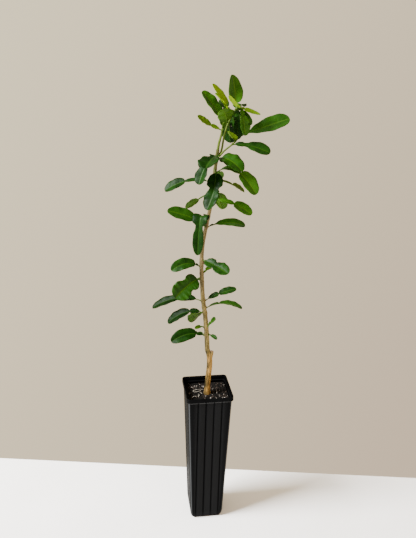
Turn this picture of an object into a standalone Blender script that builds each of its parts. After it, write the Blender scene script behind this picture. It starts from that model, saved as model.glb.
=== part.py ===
"""Potted kaffir lime tree: a young grafted tree in a tall square nursery pot.

Each leaf of this tree is double: a thin petiole, a leafy wing, a pinch that is
the leaf's joint, and then the blade. The trunk carries single leaves, and the
three shoots at its top each carry a mass of leaves on a short twig.

Metres, +Z up. The origin is the centre of the pot's flat underside.
"""

import math
import random
from collections import namedtuple

import bmesh
import bpy
from mathutils import Euler, Vector

MM = 0.001
GAP = 0.3 * MM
SEED = 414
UPRIGHT = Vector((0, 0, 1))

# Pot: tall, square and tapered, with a stepped rim and shallow grooves down each side. The foot
# profile tells how far the pot's foot is tucked in at each height.
POT_HEIGHT = 0.356
RIM_WIDTH = 0.112
RIM_BAND = 0.011
BODY_TOP_WIDTH = 0.1055
FOOT_WIDTH = 0.081
POT_WALL = 0.002
POT_FLOOR = 0.003
CORNER_RADIUS = 0.008
CORNER_STEPS = 3
GROOVES_PER_SIDE = 4
GROOVE_PITCH = 0.019
GROOVE_WIDTH = 0.0022
GROOVE_DEPTH = 0.0008
FOOT_PROFILE = ((0.0, 0.0046), (0.003, 0.0026), (0.009, 0.0009), (0.018, 0.0))
GROOVE_RUN_OUT = 0.002
RIM_EASE = 0.001
RIM_TOP_DIP = 0.0006

# Potting mix, to a little under the rim
SOIL_TOP = 0.338
SOIL_RINGS = (0.84, 0.64, 0.4)
SOIL_ROUGHNESS = 0.0015

# The plant is set in its pot with its best side turned a little from the pot's front
PLANT_TURN = math.radians(-9.0)

# Trunk: rootstock up to the graft, then the grafted stem up to the fork
ROOTSTOCK_RADIUS = 0.0066
FLARE_RADIUS = 0.0088
FLARE_HEIGHT = 0.030
GRAFT_HEIGHT = 0.438
GRAFT_SWELL = 0.0009
GRAFT_SPREAD = 0.012
STEM_FOOT_RADIUS = 0.0058
STEM_TIP_RADIUS = 0.0034
STEM_TAPER = 1.2
TRUNK_SIDES = 10
TRUNK_RINGS = 32
TRUNK_COURSE = (
    (0, 0, 338.3), (1, 1, 374), (4, 2, 412), (3, 1, 438), (-2, 0, 458), (-4, -1, 490),
    (-9, -2, 545), (-15, 0, 585), (-18, 3, 625), (-20, 4, 670), (-18, 3, 715), (-11, 1, 758),
    (-5, 0, 790), (1, 1, 830), (5, 2, 883), (10, 2, 926),
)
STUB_COURSE = ((3, 1, 424), (6, 0, 438), (9, -1, 452))
STUB_RADII = (0.0050, 0.0052, 0.0042)

# Shoots: one tapering limb each, from the fork or the trunk's side to its mass of leaves
SHOOT_SIDES = 8
SHOOT_RINGS = 7
Shoot = namedtuple("Shoot", "name course foot_radius tip_radius")
SHOOTS = (
    Shoot("shoot_left", ((10, 2, 926.3), (12, 1, 940), (15, -1, 952), (17, -3, 962)), 0.0029, 0.0020),
    Shoot("shoot_leader", ((14.6, 3.2, 917), (18.6, 4, 929), (22, 5, 953), (28, 7, 975)), 0.0021, 0.0018),
    Shoot("shoot_right", ((13.6, -0.2, 913), (24, -2, 925), (36, -3, 935)), 0.0018, 0.0015),
)

# Leaves: sizes in millimetres and angles in degrees. Heading turns from +X towards +Y,
# out is the level reach from root to tip, drop how far the tip lies under the root, arch how
# high the midrib rises over the straight line, and bow how far it swings to its right. Face
# turns the upper side towards the plant's front. Wing is the wing's width, and joint where
# the blade starts, as a share of the whole length. Crest is where the blade is at its widest,
# as a share of the blade's length. Neck is how wide the joint is, as a share of the narrower part.
LEAF_THICKNESS = 0.0010
LEAF_SLIMNESS = 0.011
LEAF_FOLD = math.radians(14.0)
MIDRIB_STEPS = 60
AIM_STEP = 0.01
PETIOLE_WIDTH = 0.0018
PETIOLE_DEPTH = 0.0018
PINCH_WIDTH = 0.0020
Leaf = namedtuple("Leaf", "root heading out drop arch bow width wing joint face crest neck", defaults=(0.5, 0.36))

# Single leaves up the trunk: root is the height over the pot's underside
TRUNK_LEAVES = (
    Leaf(497, 315, 28, 3, 3, 0, 10, 3, 0.30, 20),
    Leaf(494, 195, 79, 10, 11, 0, 31, 8, 0.25, 45),
    Leaf(495, 150, 50, 20, 4, 0, 22, 12, 0.40, 10),
    Leaf(516, 215, 26, -2, 3, 0, 9, 3, 0.35, 30),
    Leaf(519, 310, 28, -26, 2, 0, 20, 13, 0.36, 40),
    Leaf(549, 125, 49, 44, 8, 0, 40, 10, 0.15, 0, 0.40),
    Leaf(552, 175, 81, 33, 13, 0, 27, 14, 0.33, 30),
    Leaf(565, 350, 83, -4, 12, 0, 24, 13, 0.36, 0),
    Leaf(581, 172, 115, 29, 14, 0, 25, 20, 0.44, 35, 0.50, 0.65),
    Leaf(582, 5, 71, -26, 4, 0, 19, 14, 0.45, 35, 0.50, 0.24),
    Leaf(625, 115, 60, 25, 8, 0, 26, 14, 0.40, 0),
    Leaf(635, 218, 69, 34, 6, 0, 46, 40, 0.44, 50, 0.50, 0.80),
    Leaf(645, 50, 32, -6, 2, 0, 14, 6, 0.35, 0),
    Leaf(664, 200, 66, 6, 11, 0, 28, 6, 0.15, 45, 0.56),
    Leaf(672, 75, 45, 25, 8, 0, 20, 12, 0.40, 0),
    Leaf(679, 320, 73, 16, 2, 0, 32, 26, 0.45, 35, 0.50, 0.70),
    Leaf(757, 10, 84, 1, 8, 0, 25, 5, 0.15, 30, 0.68),
    Leaf(758, 243, 34, 58, 51, 3, 25, 36, 0.45, 0, 0.50, 0.70),
    Leaf(764, 185, 83, -28, 3, 0, 32, 17, 0.27, 45, 0.50, 0.60),
    Leaf(780, 100, 60, 40, 12, 0, 24, 14, 0.40, 0),
    Leaf(818, 350, 85, 28, 8, 0, 27, 12, 0.50, 35),
    Leaf(833, 155, 61, 43, 3, 0, 18, 3, 0.48, -45),
    Leaf(840, 62, 40, 53, 12, 0, 36, 12, 0.30, 0),
    Leaf(856, 175, 103, 24, 13, 0, 28, 10, 0.54, 40, 0.50, 0.50),
    Leaf(862, 15, 66, 30, 5, 0, 22, 8, 0.55, 20),
    Leaf(870, 78, 60, 20, 12, 0, 22, 14, 0.40, 0),
    Leaf(879, 340, 90, 42, 26, 0, 34, 14, 0.50, 40),
    Leaf(885, 254, 52, 79, 5, -8, 34, 34, 0.50, 0, 0.50, 0.62),
    Leaf(898, 225, 46, 42, 20, 0, 30, 14, 0.40, 10, 0.60, 0.60),
    Leaf(906, 325, 62, 20, 10, 0, 39, 8, 0.13, 25, 0.44, 0.80),
    Leaf(905, 120, 60, 30, 12, 0, 28, 14, 0.40, 0),
    Leaf(914, 246, 54, 21, 4, 0, 45, 24, 0.22, 0, 0.60, 0.70),
)

# Masses on the shoots: the twig grows on from its shoot's tip through the course's points,
# and a leaf's root is a share of the twig's length
Mass = namedtuple("Mass", "name course tip_radius leaves")
MASSES = (
    Mass(
        "crown_left", ((20, -6, 980), (26, -9, 998), (30, -11, 1012)), 0.0013, (
            Leaf(0.10, 185, 52, -28, -4, 0, 17, 12, 0.43, 35),
            Leaf(0.08, 270, 42, -45, 0, -8, 34, 15, 0.42, -30),
            Leaf(0.40, 175, 47, -60, 3, 0, 30, 10, 0.15, 35),
            Leaf(0.60, 100, 45, -30, 6, 0, 22, 12, 0.40, 0),
            Leaf(0.88, 215, 34, -33, 3, 0, 25, 4, 0.15, 30, 0.40),
            Leaf(0.97, 200, 37, -48, 1, 0, 24, 4, 0.15, 50, 0.36),
        ),
    ),
    Mass(
        "crown_leader", ((37, 10, 995), (46, 9, 1010), (56, -4, 1014)), 0.0014, (
            Leaf(0.11, 82, 40, 48, 9, 0, 38, 14, 0.30, 0),
            Leaf(0.49, 275, 24, 8, 6, 0, 22, 10, 0.35, 0),
            Leaf(0.39, 110, 44, 30, 8, 0, 28, 14, 0.40, 0),
            Leaf(0.57, 300, 16, 58, 10, 0, 22, 12, 0.35, 0),
            Leaf(0.64, 112, 25, -68, -5, 3, 35, 14, 0.18, 0),
            Leaf(0.75, 60, 30, -1, 6, 0, 18, 10, 0.40, 0),
            Leaf(0.81, 95, 38, 34, 8, 0, 24, 12, 0.40, 0),
            Leaf(0.91, 310, 19, 56, 12, 0, 28, 12, 0.30, 0),
            Leaf(0.98, 200, 29, -22, -4, 0, 16, 5, 0.20, 40, 0.54),
            Leaf(0.95, 348, 42, 13, -1, 0, 12, 7, 0.20, 40, 0.35, 0.70),
            Leaf(0.85, 345, 28, 34, -1, 0, 18, 4, 0.20, 50),
        ),
    ),
    Mass(
        "crown_right", ((46, 0, 944), (60, 8, 959)), 0.0012, (
            Leaf(0.52, 232, 25, -21, 0, 0, 22, 8, 0.20, 0, 0.34),
            Leaf(0.18, 350, 81, 15, 5, 0, 28, 13, 0.32, 40, 0.62, 0.80),
            Leaf(0.44, 60, 45, -12, 4, 0, 20, 12, 0.40, 0),
            Leaf(0.93, 5, 102, -35, 0, 0, 37, 8, 0.13, 50, 0.68, 0.60),
        ),
    ),
)

# Outline of a leaf: share of its part's length, and share of that part's width
WING_OUTLINE = ((0.08, 0.42), (0.32, 0.84), (0.62, 1.00), (0.86, 0.90), (0.96, 0.60))
BLADE_OUTLINE = ((0.03, 0.42), (0.12, 0.72), (0.30, 0.94), (0.50, 1.00), (0.74, 0.87), (0.93, 0.50))
PETIOLE_SHARE = 0.22
HALFWAY = 0.5
TIP_WIDTH_SHARE = 0.12


def clear_scene():
    """Take every object out of the scene."""
    for old in list(bpy.data.objects):
        bpy.data.objects.remove(old, do_unlink=True)


def make_material(name, colour, roughness):
    """A plain Principled finish for one node."""
    material = bpy.data.materials.new(name)
    material.use_nodes = True
    shader = material.node_tree.nodes["Principled BSDF"]
    shader.inputs["Base Color"].default_value = (*colour, 1.0)
    shader.inputs["Roughness"].default_value = roughness
    shader.inputs["Metallic"].default_value = 0.0
    return material


def add_object(name, mesh_builder, material, parent=None):
    """Turn a bmesh into a named object with outward faces."""
    bmesh.ops.recalc_face_normals(mesh_builder, faces=mesh_builder.faces)
    mesh = bpy.data.meshes.new(name)
    mesh_builder.to_mesh(mesh)
    mesh_builder.free()
    mesh.materials.append(material)
    item = bpy.data.objects.new(name, mesh)
    bpy.context.scene.collection.objects.link(item)
    item.parent = parent
    return item


def loft(rings):
    """Join rings of points, one after another, into a closed body with flat ends."""
    body = bmesh.new()
    rows = [[body.verts.new(point) for point in ring] for ring in rings]
    for lower, upper in zip(rows, rows[1:]):
        for i in range(len(lower)):
            j = (i + 1) % len(lower)
            body.faces.new((lower[i], lower[j], upper[j], upper[i]))
    body.faces.new(list(reversed(rows[0])))
    body.faces.new(rows[-1])
    return body


def smooth_course(points, count):
    """Read count points, evenly in the parameter, from a smooth curve through the given ones."""
    knots = [Vector(p) * MM for p in points]
    knots = [knots[0] * 2 - knots[1]] + knots + [knots[-1] * 2 - knots[-2]]
    spans = len(points) - 1
    course = []
    for k in range(count):
        place = spans * k / (count - 1)
        i = min(int(place), spans - 1)
        t = place - i
        a, b, c, d = knots[i:i + 4]
        bend = (a * 2 - b * 5 + c * 4 - d) * t * t + (b * 3 - a - c * 3 + d) * t ** 3
        course.append((b * 2 + (c - a) * t + bend) / 2)
    return course


def limb(course, radii, sides, foot_along=None, tip_along=None):
    """A round tapering limb along a course; the ends can be cut square to given directions."""
    rings = []
    last = len(course) - 1
    for k, (point, radius) in enumerate(zip(course, radii)):
        along = (course[min(k + 1, last)] - course[max(k - 1, 0)]).normalized()
        if k == 0 and foot_along:
            along = foot_along
        if k == last and tip_along:
            along = tip_along
        across = along.cross(Vector((0, 1, 0))).normalized()
        upright = across.cross(along)
        turn = math.tau / sides
        rings.append([
            point + across * (radius * math.cos(turn * s)) + upright * (radius * math.sin(turn * s))
            for s in range(sides)
        ])
    return loft(rings)


def even_radii(foot, tip, count):
    """Radii that fall evenly from foot to tip."""
    return [foot + (tip - foot) * k / (count - 1) for k in range(count)]


def union_into(target, pieces, solver):
    """Fuse pieces into the target with one Boolean union, applied, and drop the pieces."""
    group = bpy.data.collections.new(target.name + "_pieces")
    bpy.context.scene.collection.children.link(group)
    for piece in pieces:
        bpy.context.scene.collection.objects.unlink(piece)
        group.objects.link(piece)
    fuse = target.modifiers.new("fuse", "BOOLEAN")
    fuse.operation = "UNION"
    fuse.operand_type = "COLLECTION"
    fuse.collection = group
    fuse.solver = solver
    bpy.context.view_layer.update()
    fused = bpy.data.meshes.new_from_object(target.evaluated_get(bpy.context.evaluated_depsgraph_get()))
    target.modifiers.remove(fuse)
    target.data = fused
    for piece in pieces:
        bpy.data.objects.remove(piece, do_unlink=True)
    bpy.data.collections.remove(group)


def side_outline(half, radius, groove):
    """Points of the pot's front side, from its left corner to its right one."""
    flat = half - radius
    points = []
    for k in range(CORNER_STEPS + 1):
        angle = math.radians(180 + 45 + 45 * k / CORNER_STEPS)
        points.append((-flat + radius * math.cos(angle), -flat + radius * math.sin(angle)))
    for k in range(GROOVES_PER_SIDE):
        middle = (k - (GROOVES_PER_SIDE - 1) / 2) * GROOVE_PITCH
        for edge, depth in ((-0.5, 0.0), (0.0, groove), (0.5, 0.0)):
            points.append((middle + edge * GROOVE_WIDTH, -half + depth))
    for k in range(CORNER_STEPS):
        angle = math.radians(270 + 45 * k / CORNER_STEPS)
        points.append((flat + radius * math.cos(angle), -flat + radius * math.sin(angle)))
    return points


def pot_ring(width, height, radius=CORNER_RADIUS, groove=0.0):
    """One level ring round the pot."""
    ring = []
    for quarter in range(4):
        turn = Euler((0, 0, math.tau / 4 * quarter))
        for x, y in side_outline(width / 2, radius, groove):
            point = Vector((x, y, height))
            point.rotate(turn)
            ring.append(point)
    return ring


def foot_inset(height):
    """How far each side of the pot is tucked in at a height."""
    for (low, low_inset), (high, high_inset) in zip(FOOT_PROFILE, FOOT_PROFILE[1:]):
        if height <= high:
            return low_inset + (high_inset - low_inset) * (height - low) / (high - low)
    return 0.0


def body_width(height):
    """Outer width of the pot's body at a height."""
    straight = FOOT_WIDTH + (BODY_TOP_WIDTH - FOOT_WIDTH) * height / (POT_HEIGHT - RIM_BAND)
    return straight - 2 * foot_inset(height)


def inner_width(height):
    """Inner width of the pot's body at a height."""
    return body_width(height) - 2 * POT_WALL


def build_pot():
    """The pot as one shell: up the outside, over the rim and down the inside."""
    under_rim = POT_HEIGHT - RIM_BAND
    step = RIM_BAND + POT_WALL
    inner_radius = CORNER_RADIUS - POT_WALL
    tuck_heights = [height for height, _ in FOOT_PROFILE]
    groove_foot = tuck_heights[-1] + GROOVE_RUN_OUT
    groove_head = under_rim - RIM_EASE - GROOVE_RUN_OUT
    rings = [
        *(pot_ring(body_width(height), height) for height in tuck_heights),
        pot_ring(body_width(groove_foot), groove_foot, groove=GROOVE_DEPTH),
        pot_ring(body_width(groove_head), groove_head, groove=GROOVE_DEPTH),
        pot_ring(BODY_TOP_WIDTH, under_rim - RIM_EASE),
        pot_ring(RIM_WIDTH - RIM_EASE, under_rim),
        pot_ring(RIM_WIDTH, under_rim + RIM_EASE),
        pot_ring(RIM_WIDTH, POT_HEIGHT - RIM_EASE),
        pot_ring(RIM_WIDTH - 2 * RIM_EASE, POT_HEIGHT),
        pot_ring(RIM_WIDTH - 2 * POT_WALL, POT_HEIGHT - RIM_TOP_DIP, inner_radius),
        pot_ring(RIM_WIDTH - 2 * POT_WALL, under_rim + RIM_EASE, inner_radius),
        pot_ring(inner_width(POT_HEIGHT - step), POT_HEIGHT - step, inner_radius),
        *(pot_ring(inner_width(height), height, inner_radius) for height in (*tuck_heights[:1:-1], POT_FLOOR)),
    ]
    return add_object("pot", loft(rings), make_material("pot_plastic", (0.012, 0.013, 0.013), 0.45))


def build_soil():
    """The potting mix: a block that fills the pot, rough on top and level round the trunk."""
    draw = random.Random(SEED)
    heights = (POT_FLOOR + GAP, *(height for height, _ in FOOT_PROFILE[2:]))
    inner_radius = CORNER_RADIUS - POT_WALL
    brink = pot_ring(inner_width(SOIL_TOP) - 2 * GAP, SOIL_TOP - SOIL_ROUGHNESS, inner_radius)
    rings = [pot_ring(inner_width(height) - 2 * GAP, height, inner_radius) for height in heights]
    rings.append(brink)
    for share in SOIL_RINGS:
        rough = 0.0 if share == SOIL_RINGS[-1] else SOIL_ROUGHNESS
        rings.append([
            Vector((p.x * share, p.y * share, SOIL_TOP + draw.uniform(-rough, rough))) for p in brink
        ])
    return add_object("soil", loft(rings), make_material("potting_mix", (0.030, 0.018, 0.010), 0.95))


def trunk_radius(height):
    """Radius of the trunk at a height: root flare, rootstock, graft swell and tapering stem."""
    over_soil = height - SOIL_TOP
    swell = GRAFT_SWELL * math.exp(-((height - GRAFT_HEIGHT) / GRAFT_SPREAD) ** 2)
    if height < GRAFT_HEIGHT:
        flare = (FLARE_RADIUS - ROOTSTOCK_RADIUS) * max(0.0, 1 - over_soil / FLARE_HEIGHT) ** 2
        return ROOTSTOCK_RADIUS + flare - swell / 2
    top = TRUNK_COURSE[-1][2] * MM
    left = max(0.0, (top - height) / (top - GRAFT_HEIGHT))
    return STEM_TIP_RADIUS + (STEM_FOOT_RADIUS - STEM_TIP_RADIUS) * left ** STEM_TAPER + swell / 2


def trunk_at(height):
    """The trunk's centre at a height."""
    course = smooth_course(TRUNK_COURSE, TRUNK_RINGS)
    for lower, upper in zip(course, course[1:]):
        if lower.z <= height <= upper.z:
            return lower.lerp(upper, (height - lower.z) / (upper.z - lower.z))
    return course[-1]


def build_trunk(bark, plant):
    """Rootstock and grafted stem as one limb, with the cut-off stub of the rootstock fused on."""
    course = smooth_course(TRUNK_COURSE, TRUNK_RINGS)
    trunk = limb(course, [trunk_radius(p.z) for p in course], TRUNK_SIDES, UPRIGHT, UPRIGHT)
    stub = limb([Vector(p) * MM for p in STUB_COURSE], STUB_RADII, TRUNK_SIDES)
    trunk_object = add_object("trunk", trunk, bark, plant)
    union_into(trunk_object, [add_object("stub", stub, bark, plant)], "EXACT")
    return trunk_object


def build_shoot(shoot, green_bark, plant):
    """One shoot at the top of the trunk; the one on the trunk's tip has a level foot."""
    course = smooth_course(shoot.course, SHOOT_RINGS)
    radii = even_radii(shoot.foot_radius, shoot.tip_radius, SHOOT_RINGS)
    on_tip = UPRIGHT if shoot.course[0][2] > TRUNK_COURSE[-1][2] else None
    return add_object(shoot.name, limb(course, radii, SHOOT_SIDES, on_tip), green_bark, plant)


def leaf_stations(leaf):
    """Places along a leaf, as shares of its length, each with the leaf's half width there."""
    wing_start = leaf.joint * PETIOLE_SHARE
    wing_run = leaf.joint - wing_start
    blade_run = 1 - leaf.joint
    wing = leaf.wing * MM
    width = leaf.width * MM
    pinch = max(PINCH_WIDTH, leaf.neck * min(wing, width))
    stations = [(0.0, PETIOLE_WIDTH / 2), (wing_start, PETIOLE_WIDTH / 2)]
    for s, w in WING_OUTLINE:
        least = pinch if s > HALFWAY else PINCH_WIDTH
        stations.append((wing_start + wing_run * s, max(wing * w, least) / 2))
    stations.append((leaf.joint, pinch / 2))
    crest = math.log(leaf.crest) / math.log(HALFWAY)
    for s, w in BLADE_OUTLINE:
        least = pinch if s < HALFWAY else 0.0
        stations.append((leaf.joint + blade_run * s ** crest, max(width * w, least) / 2))
    stations.append((1.0, leaf.width * MM * TIP_WIDTH_SHARE / 2))
    return stations


def leaf_point(leaf, root, share):
    """A point of the midrib: a level run from the root, lifted by the arch and swung by the bow."""
    heading = math.radians(leaf.heading)
    hump = 4 * share * (1 - share)
    ahead = Vector((math.cos(heading), math.sin(heading), 0)) * leaf.out * share
    aside = Vector((math.sin(heading), -math.cos(heading), 0)) * leaf.bow * hump
    rise = Vector((0, 0, leaf.arch * hump - leaf.drop * share))
    return root + (ahead + aside + rise) * MM


def leaf_shares(leaf, root, places):
    """Turn places along the midrib's length into shares of its level run."""
    steps = MIDRIB_STEPS
    points = [leaf_point(leaf, root, k / steps) for k in range(steps + 1)]
    lengths = [0.0]
    for a, b in zip(points, points[1:]):
        lengths.append(lengths[-1] + (b - a).length)
    shares = []
    for place in places:
        goal = place * lengths[-1]
        k = next(i for i in range(1, steps + 1) if lengths[i] >= goal or i == steps)
        shares.append((k - 1 + (goal - lengths[k - 1]) / (lengths[k] - lengths[k - 1])) / steps)
    return shares, lengths[-1]


def leaf_body(leaf, root):
    """A double leaf as one thin closed blade, folded a little along its midrib."""
    stations = leaf_stations(leaf)
    shares, length = leaf_shares(leaf, root, [place for place, _ in stations])
    thickness = max(LEAF_THICKNESS, LEAF_SLIMNESS * length)
    heading = math.radians(leaf.heading)
    level_side = Vector((math.sin(heading), -math.cos(heading), 0))
    face = math.radians(leaf.face) * (1 if math.cos(heading) >= 0 else -1)
    rings = []
    for k, (share, (place, half)) in enumerate(zip(shares, stations)):
        after = leaf_point(leaf, root, min(share + AIM_STEP, 1))
        ahead = after - leaf_point(leaf, root, max(share - AIM_STEP, 0))
        if k == 0:
            ahead.z = 0.0
        flat_normal = level_side.cross(ahead).normalized()
        flat_side = ahead.cross(flat_normal).normalized()
        roll = face * min(1.0, place / (leaf.joint * PETIOLE_SHARE))
        side = flat_side * math.cos(roll) - flat_normal * math.sin(roll)
        normal = flat_normal * math.cos(roll) + flat_side * math.sin(roll)
        stalk = half <= PINCH_WIDTH / 2
        lift = 0.0 if stalk else half * math.tan(LEAF_FOLD)
        depth = PETIOLE_DEPTH if stalk else thickness
        middle = leaf_point(leaf, root, share)
        left = middle - side * half + normal * lift
        right = middle + side * half + normal * lift
        down = normal * depth
        rings.append([left, middle, right, right - down, middle - down, left - down])
    return loft(rings)


def build_trunk_leaf(number, leaf, green, plant):
    """A single leaf, with its root just clear of the bark."""
    height = leaf.root * MM
    heading = math.radians(leaf.heading)
    clear = trunk_radius(height) + GAP
    root = trunk_at(height) + Vector((math.cos(heading), math.sin(heading), 0)) * clear
    root.z += PETIOLE_DEPTH / 2
    return add_object(f"leaf_{number:02d}", leaf_body(leaf, root), green, plant)


def build_mass(mass, shoot, green, plant):
    """A mass of leaves: a short twig with its leaves fused on, their roots sunk well in."""
    tip, before = smooth_course(shoot.course, SHOOT_RINGS)[:-3:-1]
    along = (tip - before).normalized()
    foot = tip / MM + along * (GAP / MM)
    course = smooth_course((foot, *mass.course), SHOOT_RINGS)
    radii = even_radii(shoot.tip_radius, mass.tip_radius, SHOOT_RINGS)
    twig = add_object(mass.name, limb(course, radii, SHOOT_SIDES, along), green, plant)
    leaves = []
    for leaf in mass.leaves:
        place = leaf.root * (SHOOT_RINGS - 1)
        k = min(int(place), SHOOT_RINGS - 2)
        root = course[k].lerp(course[k + 1], place - k)
        root.z += PETIOLE_DEPTH / 2
        leaves.append(add_object("leaf", leaf_body(leaf, root), green, plant))
    union_into(twig, leaves, "MANIFOLD")
    return twig


def build():
    """The whole potted tree."""
    clear_scene()
    build_pot()
    build_soil()
    plant = bpy.data.objects.new("plant", None)
    bpy.context.scene.collection.objects.link(plant)
    plant.rotation_euler = (0, 0, PLANT_TURN)
    bark = make_material("bark", (0.27, 0.19, 0.10), 0.75)
    green_bark = make_material("green_bark", (0.09, 0.16, 0.02), 0.55)
    green = make_material("leaf_green", (0.025, 0.10, 0.008), 0.35)
    build_trunk(bark, plant)
    for shoot in SHOOTS:
        build_shoot(shoot, green_bark, plant)
    for number, leaf in enumerate(TRUNK_LEAVES, start=1):
        build_trunk_leaf(number, leaf, green, plant)
    for mass, shoot in zip(MASSES, SHOOTS):
        build_mass(mass, shoot, green, plant)


build()
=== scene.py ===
"""Potted kaffir lime tree: a young grafted tree in a tall square nursery pot, dressed for close looks.

Every leaf is double: a petiole, a leafy wing, a pinch that is the leaf's joint, and then the blade.
Limbs and leaves are grown here again by the model's own rules, only finer.

Metres, +Z up. The origin is the centre of the pot's flat underside.
"""

import logging
import math
from collections.abc import Mapping, Sequence
from dataclasses import dataclass, field
from enum import Enum

import bpy
import numpy as np
from mathutils import Matrix, Vector


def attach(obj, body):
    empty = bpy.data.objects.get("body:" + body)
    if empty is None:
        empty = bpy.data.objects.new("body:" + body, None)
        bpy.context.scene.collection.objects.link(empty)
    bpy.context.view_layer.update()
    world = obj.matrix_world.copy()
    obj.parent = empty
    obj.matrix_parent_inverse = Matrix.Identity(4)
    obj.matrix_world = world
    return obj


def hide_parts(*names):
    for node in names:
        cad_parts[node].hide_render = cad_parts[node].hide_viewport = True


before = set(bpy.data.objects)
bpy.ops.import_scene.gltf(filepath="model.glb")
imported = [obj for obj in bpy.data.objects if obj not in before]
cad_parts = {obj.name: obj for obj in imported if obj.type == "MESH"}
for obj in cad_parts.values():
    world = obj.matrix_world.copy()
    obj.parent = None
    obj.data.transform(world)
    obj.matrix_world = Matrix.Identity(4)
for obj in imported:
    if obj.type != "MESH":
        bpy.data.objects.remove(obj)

log = logging.getLogger("potted_tree")

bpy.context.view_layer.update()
MM = 0.001
GAP = 0.3 * MM
PLANT_TURN = math.radians(-9.0)
SEED = 414

Colour = tuple[float, float, float]
Place = tuple[float, float, float]
Socket = bpy.types.NodeSocket
Feed = Socket | bpy.types.Material | float | int | bool | str | tuple

# Attributes that only guide the growth, and are taken off the finished mesh
SCAFFOLD = {
    "half", "tilt", "along", "across", "left", "right", "fold", "puff", "wave", "wave_count", "wave_turn",
    "spine", "girth", "aim", "size", "loose",
}


class Graph:
    """A node tree under construction, for geometry or for a material."""

    def __init__(self, tree: bpy.types.NodeTree) -> None:
        """Wrap a tree that the nodes go into."""
        self.tree = tree

    def feed(self, node: bpy.types.Node, key: int | str, feed: Feed) -> None:
        """Link or set one input.

        Args:
            node: The node that has the input.
            key: The input's name or number.
            feed: Another node's output, or a value.
        """
        if isinstance(feed, Socket):
            self.tree.links.new(feed, node.inputs[key])
        else:
            node.inputs[key].default_value = feed

    def put(self, kind: str, feeds: Mapping[int | str, Feed] | None = None, **settings: object) -> bpy.types.Node:
        """Add one node.

        Args:
            kind: Blender's name for the node type.
            feeds: What goes into each input, by name or number.
            settings: The node's own settings.

        Returns:
            The new node.
        """
        node = self.tree.nodes.new(kind)
        for key, value in settings.items():
            setattr(node, key, value)
        for key, feed in (feeds or {}).items():
            self.feed(node, key, feed)
        return node

    def math(self, operation: str, *feeds: Feed) -> Socket:
        """Add a math node.

        Args:
            operation: Blender's name for the operation.
            feeds: The operands, in order.

        Returns:
            The result.
        """
        return self.put("ShaderNodeMath", dict(enumerate(feeds)), operation=operation).outputs[0]

    def vector(self, operation: str, first: Feed, second: Feed) -> Socket:
        """Add a vector math node.

        Args:
            operation: Blender's name for the operation.
            first: A vector.
            second: A vector, or the number that SCALE takes.

        Returns:
            The result.
        """
        second_input = "Scale" if operation == "SCALE" else 1
        return self.put("ShaderNodeVectorMath", {0: first, second_input: second}, operation=operation).outputs[0]

    def span(self, value: Feed, low: float, high: float, start: float, end: float) -> Socket:
        """Map a value smoothly from one span to another.

        Args:
            value: What is mapped.
            low: Value that gives start.
            high: Value that gives end.
            start: Result at low.
            end: Result at high.

        Returns:
            The result.
        """
        feeds = {0: value, 1: low, 2: high, 3: start, 4: end}
        return self.put("ShaderNodeMapRange", feeds, interpolation_type="SMOOTHSTEP").outputs[0]

    def noise(self, vector: Socket, scale: float, detail: float = 3.0) -> Socket:
        """Add a noise texture.

        Args:
            vector: Where it is read.
            scale: Its scale, per metre.
            detail: Its octaves.

        Returns:
            Its value, from about 0.2 to 0.8.
        """
        return self.put("ShaderNodeTexNoise", {"Vector": vector, "Scale": scale, "Detail": detail}).outputs[0]

    def mix(self, share: Feed, first: Socket | Colour, second: Socket | Colour) -> Socket:
        """Mix two colours.

        Args:
            share: Share of the second colour.
            first: First colour, as a socket or linear RGB.
            second: Second colour.

        Returns:
            The mixed colour.
        """
        colours = [c if isinstance(c, Socket) else (*c, 1.0) for c in (first, second)]
        return self.put("ShaderNodeMix", {0: share, 6: colours[0], 7: colours[1]}, data_type="RGBA").outputs[2]


@dataclass
class Sheet:
    """Thickness and the two faces of a leaf sheet.

    Args:
        thickness: Metres.
        upper: Material of the upper face.
        under: Material of the underside and the rim.
    """

    thickness: float
    upper: bpy.types.Material
    under: bpy.types.Material

    def add_to(self, item: bpy.types.Object) -> None:
        """Give the sheet that an object carries its thickness.

        Args:
            item: The object.
        """
        solid = item.modifiers.new("thickness", "SOLIDIFY")
        solid.thickness = self.thickness
        solid.offset = -1.0
        solid.material_offset = 1
        solid.material_offset_rim = 1


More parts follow.
